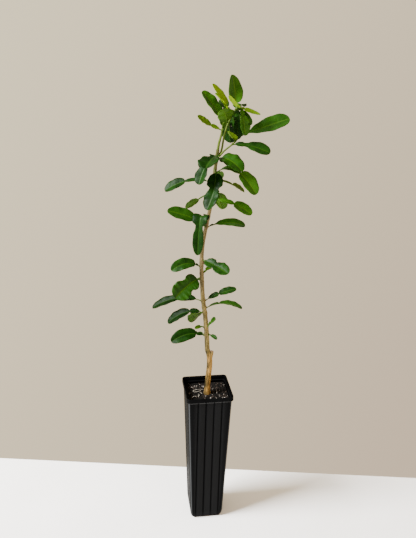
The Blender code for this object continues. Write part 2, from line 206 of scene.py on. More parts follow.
class Growth(Graph):
    """A geometry tree with named inputs, which grows a seed mesh into a finished one."""

    def __init__(self, name: str) -> None:
        """Start an empty tree of that name."""
        super().__init__(bpy.data.node_groups.new(name, "GeometryNodeTree"))
        self.tree.is_modifier = True
        for in_out in ("INPUT", "OUTPUT"):
            self.tree.interface.new_socket("Geometry", in_out=in_out, socket_type="NodeSocketGeometry")
        self.start = self.put("NodeGroupInput")
        self.end = self.put("NodeGroupOutput")
        self.seed = self.start.outputs[0]

    def input(self, name: str, kind: str = "Float") -> Socket:
        """Add a named input.

        Args:
            name: The input's name.
            kind: Float, Int or Material.

        Returns:
            The socket that carries it inside the tree.
        """
        self.tree.interface.new_socket(name, in_out="INPUT", socket_type="NodeSocket" + kind)
        return self.start.outputs[name]

    def read(self, name: str, data_type: str = "FLOAT") -> Socket:
        """Read a named attribute of that name and type."""
        return self.put("GeometryNodeInputNamedAttribute", {"Name": name}, data_type=data_type).outputs[0]

    def store(self, geometry: Socket, name: str, value: Feed, data_type: str = "FLOAT",
              domain: str = "POINT") -> Socket:
        """Store a named attribute.

        Args:
            geometry: The geometry that carries it.
            name: The attribute's name.
            value: Its value.
            data_type: Blender's name for its type.
            domain: Blender's name for what it lies on.

        Returns:
            The geometry with the attribute.
        """
        feeds = {"Geometry": geometry, "Name": name, "Value": value}
        return self.put("GeometryNodeStoreNamedAttribute", feeds, data_type=data_type, domain=domain).outputs[0]

    def displace(self, geometry: Socket, offset: Socket) -> Socket:
        """Move the points of a geometry by an offset."""
        return self.put("GeometryNodeSetPosition", {"Geometry": geometry, "Offset": offset}).outputs[0]

    def random(self, low: Feed, high: Feed, seed: int) -> Socket:
        """Draw a number for each point.

        Args:
            low: Lowest number.
            high: Highest number.
            seed: Seed of the draw.

        Returns:
            The number.
        """
        return self.put("FunctionNodeRandomValue", {2: low, 3: high, "Seed": seed}, data_type="FLOAT").outputs[1]

    def finish(self, geometry: Socket, material: Socket, smooth: bool = True) -> None:
        """End the tree: realize the instances, shade and set the material.

        Args:
            geometry: The last geometry.
            material: The material.
            smooth: Whether its faces are shaded smooth.
        """
        real = self.put("GeometryNodeRealizeInstances", {"Geometry": geometry}).outputs[0]
        shaded = self.put("GeometryNodeSetShadeSmooth", {"Geometry": real, "Shade Smooth": smooth}).outputs[0]
        dressed = self.put("GeometryNodeSetMaterial", {"Geometry": shaded, "Material": material}).outputs[0]
        self.tree.links.new(dressed, self.end.inputs[0])

    def grow(self, name: str, seed: bpy.types.Mesh, values: Mapping[str, object],
             sheet: Sheet | None = None) -> bpy.types.Object:
        """Run the tree on a seed mesh and keep the result as a plain mesh object.

        Args:
            name: Name of the object.
            seed: The mesh that the tree starts from.
            values: Value of each named input.
            sheet: Thickness and faces, where the tree makes a sheet.

        Returns:
            The finished object, with no modifier left.
        """
        made = bpy.data.objects.new(name, seed)
        bpy.context.scene.collection.objects.link(made)
        modifier = made.modifiers.new("grow", "NODES")
        modifier.node_group = self.tree
        for item in self.tree.interface.items_tree:
            if item.name in values:
                modifier[item.identifier] = values[item.name]
        if sheet:
            seed.materials.append(sheet.upper)
            seed.materials.append(sheet.under)
            sheet.add_to(made)
        bpy.context.view_layer.update()
        settled = made.evaluated_get(bpy.context.evaluated_depsgraph_get())
        mesh = bpy.data.meshes.new_from_object(settled)
        made.modifiers.clear()
        made.data = mesh
        mesh.name = name
        for spare in SCAFFOLD & set(mesh.attributes.keys()):
            mesh.attributes.remove(mesh.attributes[spare])
        return made


def seed_lines(name: str, lines: Sequence[np.ndarray], facts: Mapping[str, Sequence[np.ndarray]]) -> bpy.types.Mesh:
    """Make a mesh of open lines with numbers along them.

    Args:
        name: Name of the mesh.
        lines: Points of each line.
        facts: For each attribute, its values along each line.

    Returns:
        The mesh.
    """
    edges = []
    first = 0
    for line in lines:
        edges += [(first + k, first + k + 1) for k in range(len(line) - 1)]
        first += len(line)
    mesh = bpy.data.meshes.new(name)
    mesh.from_pydata(turned(np.concatenate(lines)).tolist(), edges, [])
    for fact, values in facts.items():
        attribute = mesh.attributes.new(fact, "FLOAT", "POINT")
        attribute.data.foreach_set("value", np.concatenate(values).astype(np.float32))
    return mesh


def turned(points: np.ndarray) -> np.ndarray:
    """Turn points or directions from the plant's own axes to the pot's."""
    c, s = math.cos(PLANT_TURN), math.sin(PLANT_TURN)
    return points @ np.array(((c, -s, 0.0), (s, c, 0.0), (0.0, 0.0, 1.0))).T


def set_piece(piece: bpy.types.Object, nodes: Sequence[str] = ()) -> None:
    """Let a finished piece ride on the model and stand for its nodes.

    Args:
        piece: The finished piece.
        nodes: Nodes that it stands for.
    """
    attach(piece, "root")
    if nodes:
        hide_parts(*nodes)
    log.info("%s: %d faces, for %s", piece.name, len(piece.data.polygons), ", ".join(nodes) or "no node")


def smooth_course(points: Sequence[Place], count: int) -> np.ndarray:
    """Read points from a smooth curve through the given ones, evenly in its parameter.

    Args:
        points: The given points, millimetres.
        count: How many points to read.

    Returns:
        The points, metres.
    """
    knots = np.array(points, float) * MM
    knots = np.vstack((knots[0] * 2 - knots[1], knots, knots[-1] * 2 - knots[-2]))
    place = np.linspace(0.0, len(points) - 1, count)
    first = np.minimum(place.astype(int), len(points) - 2)
    t = (place - first)[:, None]
    a, b, c, d = (knots[first + k] for k in range(4))
    bend = (a * 2 - b * 5 + c * 4 - d) * t**2 + (b * 3 - a - c * 3 + d) * t**3
    return (b * 2 + (c - a) * t + bend) / 2


def smooth_profile(knots: Sequence[tuple[float, float]], places: np.ndarray) -> np.ndarray:
    """Read a smooth line through knots.

    Args:
        knots: Place and value of each knot.
        places: Where to read.

    Returns:
        The values.
    """
    x, y = np.array(knots, float).T
    slope = np.gradient(y, x)
    k = np.clip(np.searchsorted(x, places, side="right") - 1, 0, len(x) - 2)
    run = x[k + 1] - x[k]
    t = (places - x[k]) / run
    start = (1 + 2 * t) * (1 - t) ** 2 * y[k] + t * (1 - t) ** 2 * run * slope[k]
    return start + t * t * (3 - 2 * t) * y[k + 1] + t * t * (t - 1) * run * slope[k + 1]


# Finishes


def start_material(name: str, roughness: float) -> tuple[bpy.types.Material, Graph, bpy.types.Node]:
    """Start a Principled material.

    Args:
        name: Its name.
        roughness: Its roughness.

    Returns:
        The material, its graph and its shader.
    """
    material = bpy.data.materials.new(name)
    material.use_nodes = True
    shader = material.node_tree.nodes["Principled BSDF"]
    shader.inputs["Roughness"].default_value = roughness
    return material, Graph(material.node_tree), shader


@dataclass(frozen=True)
class LeafFinish:
    """One face of a leaf: mottled green with a paler midrib, side veins and margin.

    Args:
        name: Material name.
        dark: Darker green, linear RGB.
        light: Lighter green.
        vein: Colour of the midrib and the side veins.
        vein_share: How far the side veins take that colour.
        roughness: Principled roughness.
        gloss: Specular level of the waxy face.
        relief: Depth of the veins, metres.
    """

    name: str
    dark: Colour
    light: Colour
    vein: Colour
    vein_share: float = 0.06
    roughness: float = 0.42
    gloss: float = 0.05
    relief: float = 0.08 * MM

    VEINS = 18.0
    SWEEP = 1.6
    BLISTER_SHARE = 13.0

    def material(self) -> bpy.types.Material:
        """Build the material, which reads the leaf's own UV map.

        Returns:
            The material.
        """
        material, graph, shader = start_material(self.name, self.roughness)
        shader.inputs["Specular IOR Level"].default_value = self.gloss
        place = graph.put("ShaderNodeTexCoord")
        along, crosswise, _ = graph.put("ShaderNodeSeparateXYZ", {0: place.outputs["UV"]}).outputs
        across = graph.math("MULTIPLY", graph.math("ABSOLUTE", graph.math("SUBTRACT", crosswise, 0.5)), 2.0)
        mottle = graph.noise(place.outputs["Object"], 60.0)
        grain = graph.noise(place.outputs["Object"], 900.0)
        blisters = graph.math("MULTIPLY", graph.noise(place.outputs["Object"], 95.0, 1.0), self.BLISTER_SHARE)
        step = graph.math("SUBTRACT", graph.math("MULTIPLY", along, self.VEINS),
                          graph.math("MULTIPLY", across, self.SWEEP))
        vein = graph.span(graph.math("PINGPONG", step, 0.5), 0.03, 0.16, 1.0, 0.0)
        vein = graph.math("MULTIPLY", vein, graph.span(across, 0.5, 0.95, 1.0, 0.0))
        colour = graph.mix(graph.span(mottle, 0.35, 0.65, 0.0, 1.0), self.dark, self.light)
        colour = graph.mix(graph.math("MULTIPLY", vein, self.vein_share), colour, self.vein)
        colour = graph.mix(graph.span(across, 0.04, 0.12, 0.55, 0.0), colour, self.vein)
        colour = graph.mix(graph.span(across, 0.94, 1.0, 0.0, 0.15), colour, self.vein)
        graph.tree.links.new(colour, shader.inputs["Base Color"])
        height = graph.math("SUBTRACT", graph.math("ADD", graph.math("MULTIPLY", grain, 0.3), blisters), vein)
        bump = graph.put("ShaderNodeBump", {"Height": height, "Distance": self.relief, "Strength": 0.8})
        graph.tree.links.new(bump.outputs["Normal"], shader.inputs["Normal"])
        return material


@dataclass(frozen=True)
class BarkFinish:
    """Bark: streaks along the limb, speckles, tones that change with height,
    and painted light on the limb's right side with painted shade on its left.

    Args:
        name: Material name.
        tones: Height in metres, with the darker and the lighter tone from there on up. The lighter tone also serves as
            painted light on the right side, the darker as painted shade on the left.
        painted_light_side: How strongly painted light turns the limb's right side to the lighter tone, and painted
            shade its left to the darker.
        streak: Scale of the streaks round the limb, per metre.
        roughness: Principled roughness.
        relief: Depth of the bump, metres.
    """

    name: str
    tones: tuple[tuple[float, Colour, Colour], ...]
    painted_light_side: float = 0.0
    streak: float = 420.0
    roughness: float = 0.75
    relief: float = 0.6 * MM

    BLEND_HEIGHT = 0.012
    STRETCH = (1.0, 1.0, 0.12)
    GLOSS = 0.06

    def material(self) -> bpy.types.Material:
        """Build the material, which reads Object coordinates and the limb's attribute side, from which it paints light
        and shade.

        Returns:
            The material.
        """
        material, graph, shader = start_material(self.name, self.roughness)
        shader.inputs["Specular IOR Level"].default_value = self.GLOSS
        place = graph.put("ShaderNodeTexCoord").outputs["Object"]
        height = graph.put("ShaderNodeSeparateXYZ", {0: place}).outputs[2]
        streaks = graph.noise(graph.vector("MULTIPLY", place, self.STRETCH), self.streak)
        patches = graph.noise(place, 90.0)
        speckle = graph.noise(place, 1300.0, 1.0)
        share = graph.math("ADD", graph.math("MULTIPLY", streaks, 0.7), graph.math("MULTIPLY", patches, 0.3))
        # Painted light on the limb's right side and painted shade on its left, from the normal's x.
        side = graph.put("ShaderNodeAttribute", attribute_name="side").outputs["Fac"]
        share = graph.span(graph.math("ADD", share, graph.math("MULTIPLY", side, self.painted_light_side)),
                           0.24, 0.76, 0.0, 1.0)
        colour = graph.mix(share, self.tones[0][1], self.tones[0][2])
        for start, dark, light in self.tones[1:]:
            upper = graph.mix(share, dark, light)
            colour = graph.mix(graph.span(height, start - self.BLEND_HEIGHT, start + self.BLEND_HEIGHT, 0.0, 1.0),
                               colour, upper)
        colour = graph.mix(graph.span(speckle, 0.62, 0.7, 0.0, 0.4), colour, self.tones[0][1])
        graph.tree.links.new(colour, shader.inputs["Base Color"])
        rough = graph.math("ADD", streaks, graph.math("MULTIPLY", speckle, 0.4))
        bump = graph.put("ShaderNodeBump", {"Height": rough, "Distance": self.relief})
        graph.tree.links.new(bump.outputs["Normal"], shader.inputs["Normal"])
        return material


@dataclass(frozen=True)
class GrainFinish:
    """A grainy finish: two tones in soft patches, a third in specks, a fine bump,
    and where given painted highlights and painted shade from an attribute on the mesh.

    Args:
        name: Material name.
        dark: Darker tone, linear RGB.
        light: Lighter tone.
        speck: Tone of the specks.
        speck_share: How strong the specks are.
        scale: Scale of the patches, per metre.
        stretch: Stretch of the patches' space along each axis.
        gloss: Specular level.
        painted_highlight: Tone of painted highlights, where the mesh carries the attribute painted_light. Below zero
            that attribute paints shade, darkening instead.
        fine: Scale of the specks and the bump, per metre.
        roughness: Principled roughness.
        relief: Depth of the bump, metres.
    """

    name: str
    dark: Colour
    light: Colour
    speck: Colour
    speck_share: float
    scale: float
    fine: float
    roughness: float
    relief: float
    stretch: Place = (1.0, 1.0, 1.0)
    gloss: float = 0.4
    painted_highlight: Colour | None = None

    def material(self) -> bpy.types.Material:
        """Build the material, which reads Object coordinates.

        Returns:
            The material.
        """
        material, graph, shader = start_material(self.name, self.roughness)
        shader.inputs["Specular IOR Level"].default_value = self.gloss
        place = graph.put("ShaderNodeTexCoord").outputs["Object"]
        patches = graph.noise(graph.vector("MULTIPLY", place, self.stretch), self.scale)
        specks = graph.noise(place, self.fine)
        colour = graph.mix(graph.span(patches, 0.35, 0.65, 0.0, 1.0), self.dark, self.light)
        colour = graph.mix(graph.span(specks, 0.58, 0.68, 0.0, self.speck_share), colour, self.speck)
        # Painted highlights towards the pale tone, and painted shade towards black, read from the mesh's attribute.
        if self.painted_highlight:
            painted_light = graph.put("ShaderNodeAttribute", attribute_name="painted_light").outputs["Fac"]
            colour = graph.mix(graph.span(painted_light, 0.0, 1.0, 0.0, 1.0), colour, self.painted_highlight)
            colour = graph.mix(graph.span(painted_light, -1.0, 0.0, 0.9, 0.0), colour, (0.0, 0.0, 0.0))
        graph.tree.links.new(colour, shader.inputs["Base Color"])
        gloss = graph.span(patches, 0.3, 0.7, self.roughness - 0.05, self.roughness + 0.05)
        graph.tree.links.new(gloss, shader.inputs["Roughness"])
        bump = graph.put("ShaderNodeBump", {"Height": specks, "Distance": self.relief})
        graph.tree.links.new(bump.outputs["Normal"], shader.inputs["Normal"])
        return material


# The pot's pale tone is a painted highlight on the corners, the grooves' edges and under the rim; painted shade
# darkens the grooves, the rim and the inside.
POT_PLASTIC = GrainFinish(
    "pot_plastic", (0.0018, 0.0019, 0.0021), (0.0028, 0.0030, 0.0033), (0.006, 0.0065, 0.007), 0.25,
    scale=22.0, fine=700.0, roughness=0.52, relief=0.10 * MM, stretch=(1.0, 1.0, 0.15), gloss=0.01,
    painted_highlight=(0.034, 0.036, 0.038),
)
MIX_SOIL = GrainFinish(
    "potting_mix", (0.0007, 0.0006, 0.0005), (0.0024, 0.0018, 0.0013), (0.009, 0.007, 0.005), 0.35,
    scale=160.0, fine=700.0, roughness=0.95, relief=1.5 * MM, gloss=0.1,
)
BARK_BIT = GrainFinish(
    "bark_bit", (0.002, 0.0014, 0.001), (0.036, 0.026, 0.020), (0.14, 0.105, 0.08), 0.5,
    scale=150.0, fine=900.0, roughness=0.9, relief=0.4 * MM, gloss=0.1,
)
PERLITE = GrainFinish(
    "perlite", (0.30, 0.28, 0.25), (0.52, 0.50, 0.46), (0.62, 0.61, 0.58), 0.6,
    scale=250.0, fine=1200.0, roughness=0.9, relief=0.3 * MM, gloss=0.2,
)
FIBRE = GrainFinish(
    "fibre", (0.10, 0.09, 0.075), (0.26, 0.24, 0.20), (0.06, 0.05, 0.04), 0.5,
    scale=200.0, fine=1100.0, roughness=0.85, relief=0.3 * MM, gloss=0.1,
)
PALE_CHIP = GrainFinish(
    "pale_chip", (0.05, 0.045, 0.040), (0.15, 0.135, 0.12), (0.02, 0.016, 0.012), 0.6,
    scale=260.0, fine=900.0, roughness=0.9, relief=0.5 * MM, gloss=0.1,
)
# The lighter tones, brightest on the rootstock, serve as painted light on the trunk's right side, and the darker as
# painted shade on its left.
TRUNK_BARK = BarkFinish("trunk_bark", (
    (0.0, (0.018, 0.014, 0.0045), (0.33, 0.19, 0.048)),
    (0.446, (0.024, 0.0205, 0.0065), (0.20, 0.150, 0.050)),
    (0.600, (0.040, 0.032, 0.013), (0.15, 0.112, 0.046)),
    (0.880, (0.030, 0.034, 0.008), (0.09, 0.090, 0.028)),
), painted_light_side=0.20)
STUB_CUT = GrainFinish(
    "cut_wood", (0.18, 0.11, 0.05), (0.30, 0.20, 0.10), (0.12, 0.07, 0.03), 0.4,
    scale=300.0, fine=1500.0, roughness=0.85, relief=0.2 * MM,
)
SHOOT_BARK = BarkFinish("shoot_bark", ((0.0, (0.024, 0.042, 0.004), (0.062, 0.090, 0.010)),),
                        roughness=0.5, relief=0.15 * MM)
STALK_GREEN = BarkFinish("stalk_green", ((0.0, (0.010, 0.030, 0.001), (0.026, 0.056, 0.003)),),
                         roughness=0.45, relief=0.1 * MM)


class Tone(Enum):
    """The greens that the leaves are given: darker green, lighter green, veins and gloss.

    They are partly the leaves' own greens and partly painted light and shade: leaves that the key light
    strikes get darker tones, and leaves turned away from it or in shadow lighter ones.
    """

    NIGHT = ((0.0007, 0.0050, 0.0002), (0.0016, 0.0095, 0.0005), (0.008, 0.026, 0.002), 0.025)
    DARK = ((0.0012, 0.0085, 0.0003), (0.0028, 0.0165, 0.0008), (0.012, 0.036, 0.003), 0.035)
    DEEP = ((0.0022, 0.0150, 0.0004), (0.0046, 0.0260, 0.0008), (0.018, 0.050, 0.003), 0.080)
    MID = ((0.0044, 0.0245, 0.0003), (0.0080, 0.0360, 0.0008), (0.026, 0.064, 0.003), 0.090)
    RICH = ((0.0130, 0.0560, 0.0006), (0.0220, 0.0780, 0.0012), (0.055, 0.120, 0.006), 0.120)
    FRESH = ((0.0125, 0.0370, 0.0002), (0.0190, 0.0520, 0.0004), (0.042, 0.082, 0.002), 0.070)
    OLIVE = ((0.0360, 0.0740, 0.0002), (0.0520, 0.0980, 0.0004), (0.070, 0.120, 0.002), 0.070)
    GOLD = ((0.1050, 0.1950, 0.0003), (0.1400, 0.2400, 0.0005), (0.170, 0.270, 0.002), 0.070)
    LIME = ((0.2200, 0.4100, 0.0020), (0.2700, 0.4900, 0.0040), (0.330, 0.540, 0.010), 0.070)

    def sheet(self, thickness: float) -> Sheet:
        """Make the two faces of a sheet in this tone.

        Args:
            thickness: Thickness of the sheet, metres.

        Returns:
            The sheet.
        """
        dark, light, vein, gloss = self.value
        name = self.name.lower()
        upper = LeafFinish("leaf_" + name, dark, light, vein, gloss=gloss)
        # The underside is paler: partly its own colour and partly painted light shining through the leaf.
        paler = [tuple(c * 0.55 + v * 0.45 for c, v in zip(tone, vein)) for tone in (dark, light)]
        under = LeafFinish("leaf_" + name + "_under", *paler, vein, vein_share=0.15, roughness=0.6, gloss=0.04)
        return Sheet(thickness, upper.material(), under.material())


@dataclass(frozen=True)
class Leaf:
    """One double leaf. Sizes are in millimetres and angles in degrees.

    Args:
        root: Height of its root over the pot's underside, or its share of the twig's length.
        heading: Its heading, from +X towards +Y.
        out: Level reach from root to tip.
        drop: How far its tip lies under its root.
        arch: How high its midrib rises over the straight line.
        bow: How far its midrib swings to its right.
        width: Width of its blade.
        wing: Width of its wing.
        joint: Where its blade starts, as a share of its length.
        face: How far its upper side turns towards the plant's front.
        tone: Its green, partly its own and partly painted light and shade.
        crest: Where its blade is widest, as a share of the blade.
        neck: How wide its joint is, as a share of the narrower part.
        wave: How strongly its margin waves.
    """

    root: float
    heading: float
    out: float
    drop: float
    arch: float
    bow: float
    width: float
    wing: float
    joint: float
    face: float
    tone: Tone
    crest: float = 0.5
    neck: float = 0.36
    wave: float = 1.0

    def ahead(self) -> np.ndarray:
        """Its level heading as a direction."""
        heading = math.radians(self.heading)
        return np.array((math.cos(heading), math.sin(heading), 0.0))

    def level_side(self) -> np.ndarray:
        """The level direction to its right."""
        heading = math.radians(self.heading)
        return np.array((math.sin(heading), -math.cos(heading), 0.0))

    def midrib(self, root: np.ndarray, shares: np.ndarray) -> np.ndarray:
        """Read points of the midrib.

        Args:
            root: Where the leaf starts, metres.
            shares: Shares of its level reach.

        Returns:
            The points, metres.
        """
        hump = 4 * shares * (1 - shares)
        rise = self.arch * hump - self.drop * shares
        flat = np.outer(self.out * shares, self.ahead()) + np.outer(self.bow * hump, self.level_side())
        return root + (flat + np.outer(rise, (0.0, 0.0, 1.0))) * MM

    def along(self, root: np.ndarray, places: np.ndarray) -> tuple[np.ndarray, float]:
        """Read points of the midrib evenly along its length.

        Args:
            root: Where the leaf starts, metres.
            places: Shares of its length.

        Returns:
            The points and the length, metres.
        """
        shares = np.linspace(0.0, 1.0, 401)
        steps = np.linalg.norm(np.diff(self.midrib(root, shares), axis=0), axis=1)
        lengths = np.concatenate(((0.0,), np.cumsum(steps)))
        return self.midrib(root, np.interp(places * lengths[-1], lengths, shares)), float(lengths[-1])

    def turn(self, places: np.ndarray) -> np.ndarray:
        """How far the leaf is rolled about its midrib at places along it, in radians."""
        face = math.radians(self.face) * (1 if math.cos(math.radians(self.heading)) >= 0 else -1)
        return face * np.minimum(1.0, places / (self.joint * LeafRule.PETIOLE_SHARE))


class LeafRule:
    """What all the leaves share: how the double outline, the fold, the waves and the rib are drawn."""

    PETIOLE_SHARE = 0.22
    PETIOLE_WIDTH = 2.4 * MM
    PETIOLE_DEPTH = 1.8 * MM
    PINCH_WIDTH = 2.0 * MM
    WING = ((0.08, 0.42), (0.32, 0.84), (0.62, 1.00), (0.86, 0.90), (0.96, 0.60))
    BLADE = ((0.03, 0.42), (0.12, 0.72), (0.30, 0.94), (0.50, 1.00), (0.74, 0.87), (0.93, 0.50), (0.985, 0.25),
             (1.0, 0.06))
    FOLD = math.radians(14.0)
    SCALLOP_RUN = 6.5 * MM
    SCALLOP_DEPTH = 0.2 * MM
    WING_STATIONS = 22
    BLADE_STATIONS = 64
    RIB_STATIONS = 44
    ROOT_SUNK = 2.5 * MM

    def __init__(self, seed: int) -> None:
        """Start the rule's own draw of random numbers from a seed."""
        self.draw = np.random.default_rng(seed)

    def outline(self, leaf: Leaf, length: float) -> tuple[np.ndarray, np.ndarray, np.ndarray]:
        """Lay out the stations of a leaf's wing and blade, one part after the other.

        Args:
            leaf: The leaf.
            length: Its length, metres.

        Returns:
            Places as shares of the whole length, places within the two parts from 0 to 1 and from 1 to 2, and
            the half width at each.
        """
        wing_start = leaf.joint * self.PETIOLE_SHARE
        wing = leaf.wing * MM / 2
        blade = leaf.width * MM / 2
        least = self.PINCH_WIDTH / 2
        pinch = max(least, leaf.neck * min(wing, blade))
        wing_knots = [(0.0, self.PETIOLE_WIDTH / 2)]
        wing_knots += [(s, max(wing * w, pinch if s > 0.5 else least)) for s, w in self.WING] + [(1.0, pinch)]
        blade_knots = [(0.0, pinch)] + [(s, max(blade * w, pinch if s < 0.5 else 0.0)) for s, w in self.BLADE]
        parts = (
            (wing_start, leaf.joint, wing_knots, self.WING_STATIONS, 0.5),
            (leaf.joint, 1.0, blade_knots, self.BLADE_STATIONS, leaf.crest),
        )
        places, stages, halves = [], [], []
        for number, (start, end, knots, stations, crest) in enumerate(parts):
            along = (1 - np.cos(np.linspace(0.0, math.pi, stations)[number:])) / 2
            half = smooth_profile(knots, along ** (math.log(0.5) / math.log(crest)))
            scallops = max(3, round(length * (end - start) / self.SCALLOP_RUN))
            bite = np.abs(np.sin(math.pi * scallops * along)) - 0.6
            half += bite * min(self.SCALLOP_DEPTH, half.max() * 0.04) * np.sin(math.pi * along) ** 0.5
            places.append(start + (end - start) * along)
            stages.append(number + along)
            halves.append(half)
        return np.concatenate(places), np.concatenate(stages), np.maximum(np.concatenate(halves), 0.2 * MM)

    def sheet(self, leaf: Leaf, root: np.ndarray) -> dict[str, np.ndarray]:
        """Lay out a leaf's wing and blade as one line with the numbers that guide its growth.

        Args:
            leaf: The leaf.
            root: Where it starts, metres.

        Returns:
            Each attribute's values, and the line's points under "line".
        """
        places, stages, half = self.outline(leaf, leaf.along(root, np.ones(1))[1])
        line, _ = leaf.along(root, places)
        swell = self.draw.uniform(0.0, 0.025, 2) * leaf.wave
        beat = self.draw.uniform(1.6, 3.2, 2)
        phase = self.draw.uniform(0.0, 1.0, 3)
        sides = [1 + swell[k] * np.sin(math.tau * (beat[k] * stages + phase[k])) for k in range(2)]
        whole = np.ones(len(places))
        ease = np.sin(math.pi * (stages % 1.0)) ** 0.5
        return {
            "line": line,
            "half": half,
            "tilt": leaf.turn(places) + math.radians(self.draw.uniform(-9.0, 9.0)) * places,
            "along": stages / 2,
            "left": sides[0],
            "right": sides[1],
            "fold": whole * math.tan(self.FOLD) * self.draw.uniform(0.8, 1.25),
            "puff": whole * self.draw.uniform(0.10, 0.22),
            "wave": leaf.wave * self.draw.uniform(0.03, 0.08) * ease,
            "wave_count": whole * self.draw.uniform(4.4, 7.2),
            "wave_turn": whole * phase[2],
        }

    def rib(self, leaf: Leaf, root: np.ndarray) -> tuple[np.ndarray, np.ndarray]:
        """Lay out the petiole and midrib as one tapering line, sunk a little into the sheet.

        Args:
            leaf: The leaf.
            root: Where it starts, metres.

        Returns:
            The line's points and its girth as radii, metres.
        """
        places = np.linspace(0.0, 0.985, self.RIB_STATIONS)
        line, _ = leaf.along(root, places)
        ahead = np.gradient(line, axis=0)
        normal = np.cross(leaf.level_side(), ahead)
        normal /= np.linalg.norm(normal, axis=1)[:, None]
        side = np.cross(ahead, normal)
        side /= np.linalg.norm(side, axis=1)[:, None]
        turn = leaf.turn(places)[:, None]
        normal = normal * np.cos(turn) + side * np.sin(turn)
        petiole = self.PETIOLE_WIDTH / 2
        wing_start = leaf.joint * self.PETIOLE_SHARE
        knots = ((0.0, petiole * 1.35), (wing_start * 0.4, petiole), (wing_start, petiole * 0.95),
                 (leaf.joint, petiole * 0.9), (leaf.joint + (1 - leaf.joint) * 0.5, petiole * 0.5), (1.0, petiole * 0.2))
        girth = np.interp(places, *np.array(knots).T)
        sunk = np.interp(places, (0.0, wing_start, leaf.joint, 1.0), (1.0, 0.95, 0.95, 0.95))
        line = line - normal * (girth * sunk)[:, None]
        back = line[0] - leaf.ahead() * self.ROOT_SUNK
        return np.vstack((back, line)), np.concatenate((girth[:1], girth))


def leaf_growth() -> Growth:
    """Make the tree that grows leaf sheets along lines.

    Returns:
        The tree, with the inputs Columns and Finish.
    """
    tree = Growth("leaf_sheets")
    columns = tree.input("Columns", "Int")
    finish = tree.input("Finish", "Material")
    put = tree.put
    curve = put("GeometryNodeMeshToCurve", {0: tree.seed}).outputs[0]
    curve = put("GeometryNodeSetCurveNormal", {0: curve}, mode="Z_UP").outputs[0]
    curve = put("GeometryNodeSetCurveTilt", {0: curve, "Tilt": tree.read("tilt")}).outputs[0]
    position = put("GeometryNodeInputPosition").outputs[0]
    curve = tree.store(curve, "spine", position, "FLOAT_VECTOR")
    profile = put("GeometryNodeCurvePrimitiveLine", {0: (-1.0, 0.0, 0.0), 1: (1.0, 0.0, 0.0)}).outputs[0]
    profile = put("GeometryNodeResampleCurve", {0: profile, "Count": columns}).outputs[0]
    sideways = put("ShaderNodeSeparateXYZ", {0: position}).outputs[0]
    profile = tree.store(profile, "across", sideways)
    feeds = {0: curve, 1: profile, "Scale": tree.read("half")}
    ribbon = put("GeometryNodeCurveToMesh", feeds).outputs[0]
    across = tree.read("across")
    apart = tree.math("ABSOLUTE", across)
    on_right = tree.math("GREATER_THAN", across, 0.0)
    stretch = tree.math("ADD", tree.read("left"), tree.math(
        "MULTIPLY", on_right, tree.math("SUBTRACT", tree.read("right"), tree.read("left"))))
    spine = tree.read("spine", "FLOAT_VECTOR")
    out = tree.vector("SUBTRACT", position, spine)
    widened = tree.vector("SCALE", out, tree.math("SUBTRACT", stretch, 1.0))
    beat = tree.math("ADD", tree.math("MULTIPLY", tree.read("along"), tree.read("wave_count")), tree.read("wave_turn"))
    beat = tree.math("ADD", beat, tree.math("MULTIPLY", on_right, 0.37))
    wave = tree.math("MULTIPLY", tree.math("SINE", tree.math("MULTIPLY", beat, math.tau)), tree.read("wave"))
    square = tree.math("MULTIPLY", apart, apart)
    lift = tree.math("ADD", tree.math("MULTIPLY", tree.read("fold"), apart), tree.math("MULTIPLY", wave, square))
    hollow = tree.math("MULTIPLY", tree.read("puff"), tree.math("SUBTRACT", apart, square))
    lift = tree.math("MULTIPLY", tree.math("ADD", lift, hollow), tree.read("half"))
    normal = put("GeometryNodeInputNormal").outputs[0]
    offset = tree.vector("ADD", widened, tree.vector("SCALE", normal, lift))
    leaf = tree.displace(ribbon, offset)
    spread = tree.math("ADD", tree.math("MULTIPLY", across, 0.5), 0.5)
    flat = put("ShaderNodeCombineXYZ", {0: tree.read("along"), 1: spread}).outputs[0]
    leaf = tree.store(leaf, "UVMap", flat, "FLOAT2", "CORNER")
    tree.finish(leaf, finish)
    return tree


def limb_growth() -> Growth:
    """Make the tree that grows round limbs along lines.

    Returns:
        The tree, with the inputs Sides, Relief, Grain and Finish.
    """
    tree = Growth("limbs")
    sides = tree.input("Sides", "Int")
    relief = tree.input("Relief")
    grain = tree.input("Grain")
    finish = tree.input("Finish", "Material")
    put = tree.put
    curve = put("GeometryNodeMeshToCurve", {0: tree.seed}).outputs[0]
    profile = put("GeometryNodeCurvePrimitiveCircle", {"Resolution": sides, "Radius": 1.0}).outputs[0]
    feeds = {0: curve, 1: profile, "Scale": tree.read("girth"), "Fill Caps": True}
    limb = put("GeometryNodeCurveToMesh", feeds).outputs[0]
    normal = put("GeometryNodeInputNormal").outputs[0]
    # The normal's x, from which the trunk's bark paints light on the right side and shade on the left.
    limb = tree.store(limb, "side", put("ShaderNodeSeparateXYZ", {0: normal}).outputs[0])
    position = put("GeometryNodeInputPosition").outputs[0]
    slim = tree.vector("MULTIPLY", position, (1.0, 1.0, 0.2))
    rough = put("ShaderNodeTexNoise", {"Vector": slim, "Scale": grain, "Detail": 3.0}).outputs[0]
    height = tree.math("MULTIPLY", tree.math("SUBTRACT", rough, 0.5), relief)
    tree.finish(tree.displace(limb, tree.vector("SCALE", normal, height)), finish)
    return tree


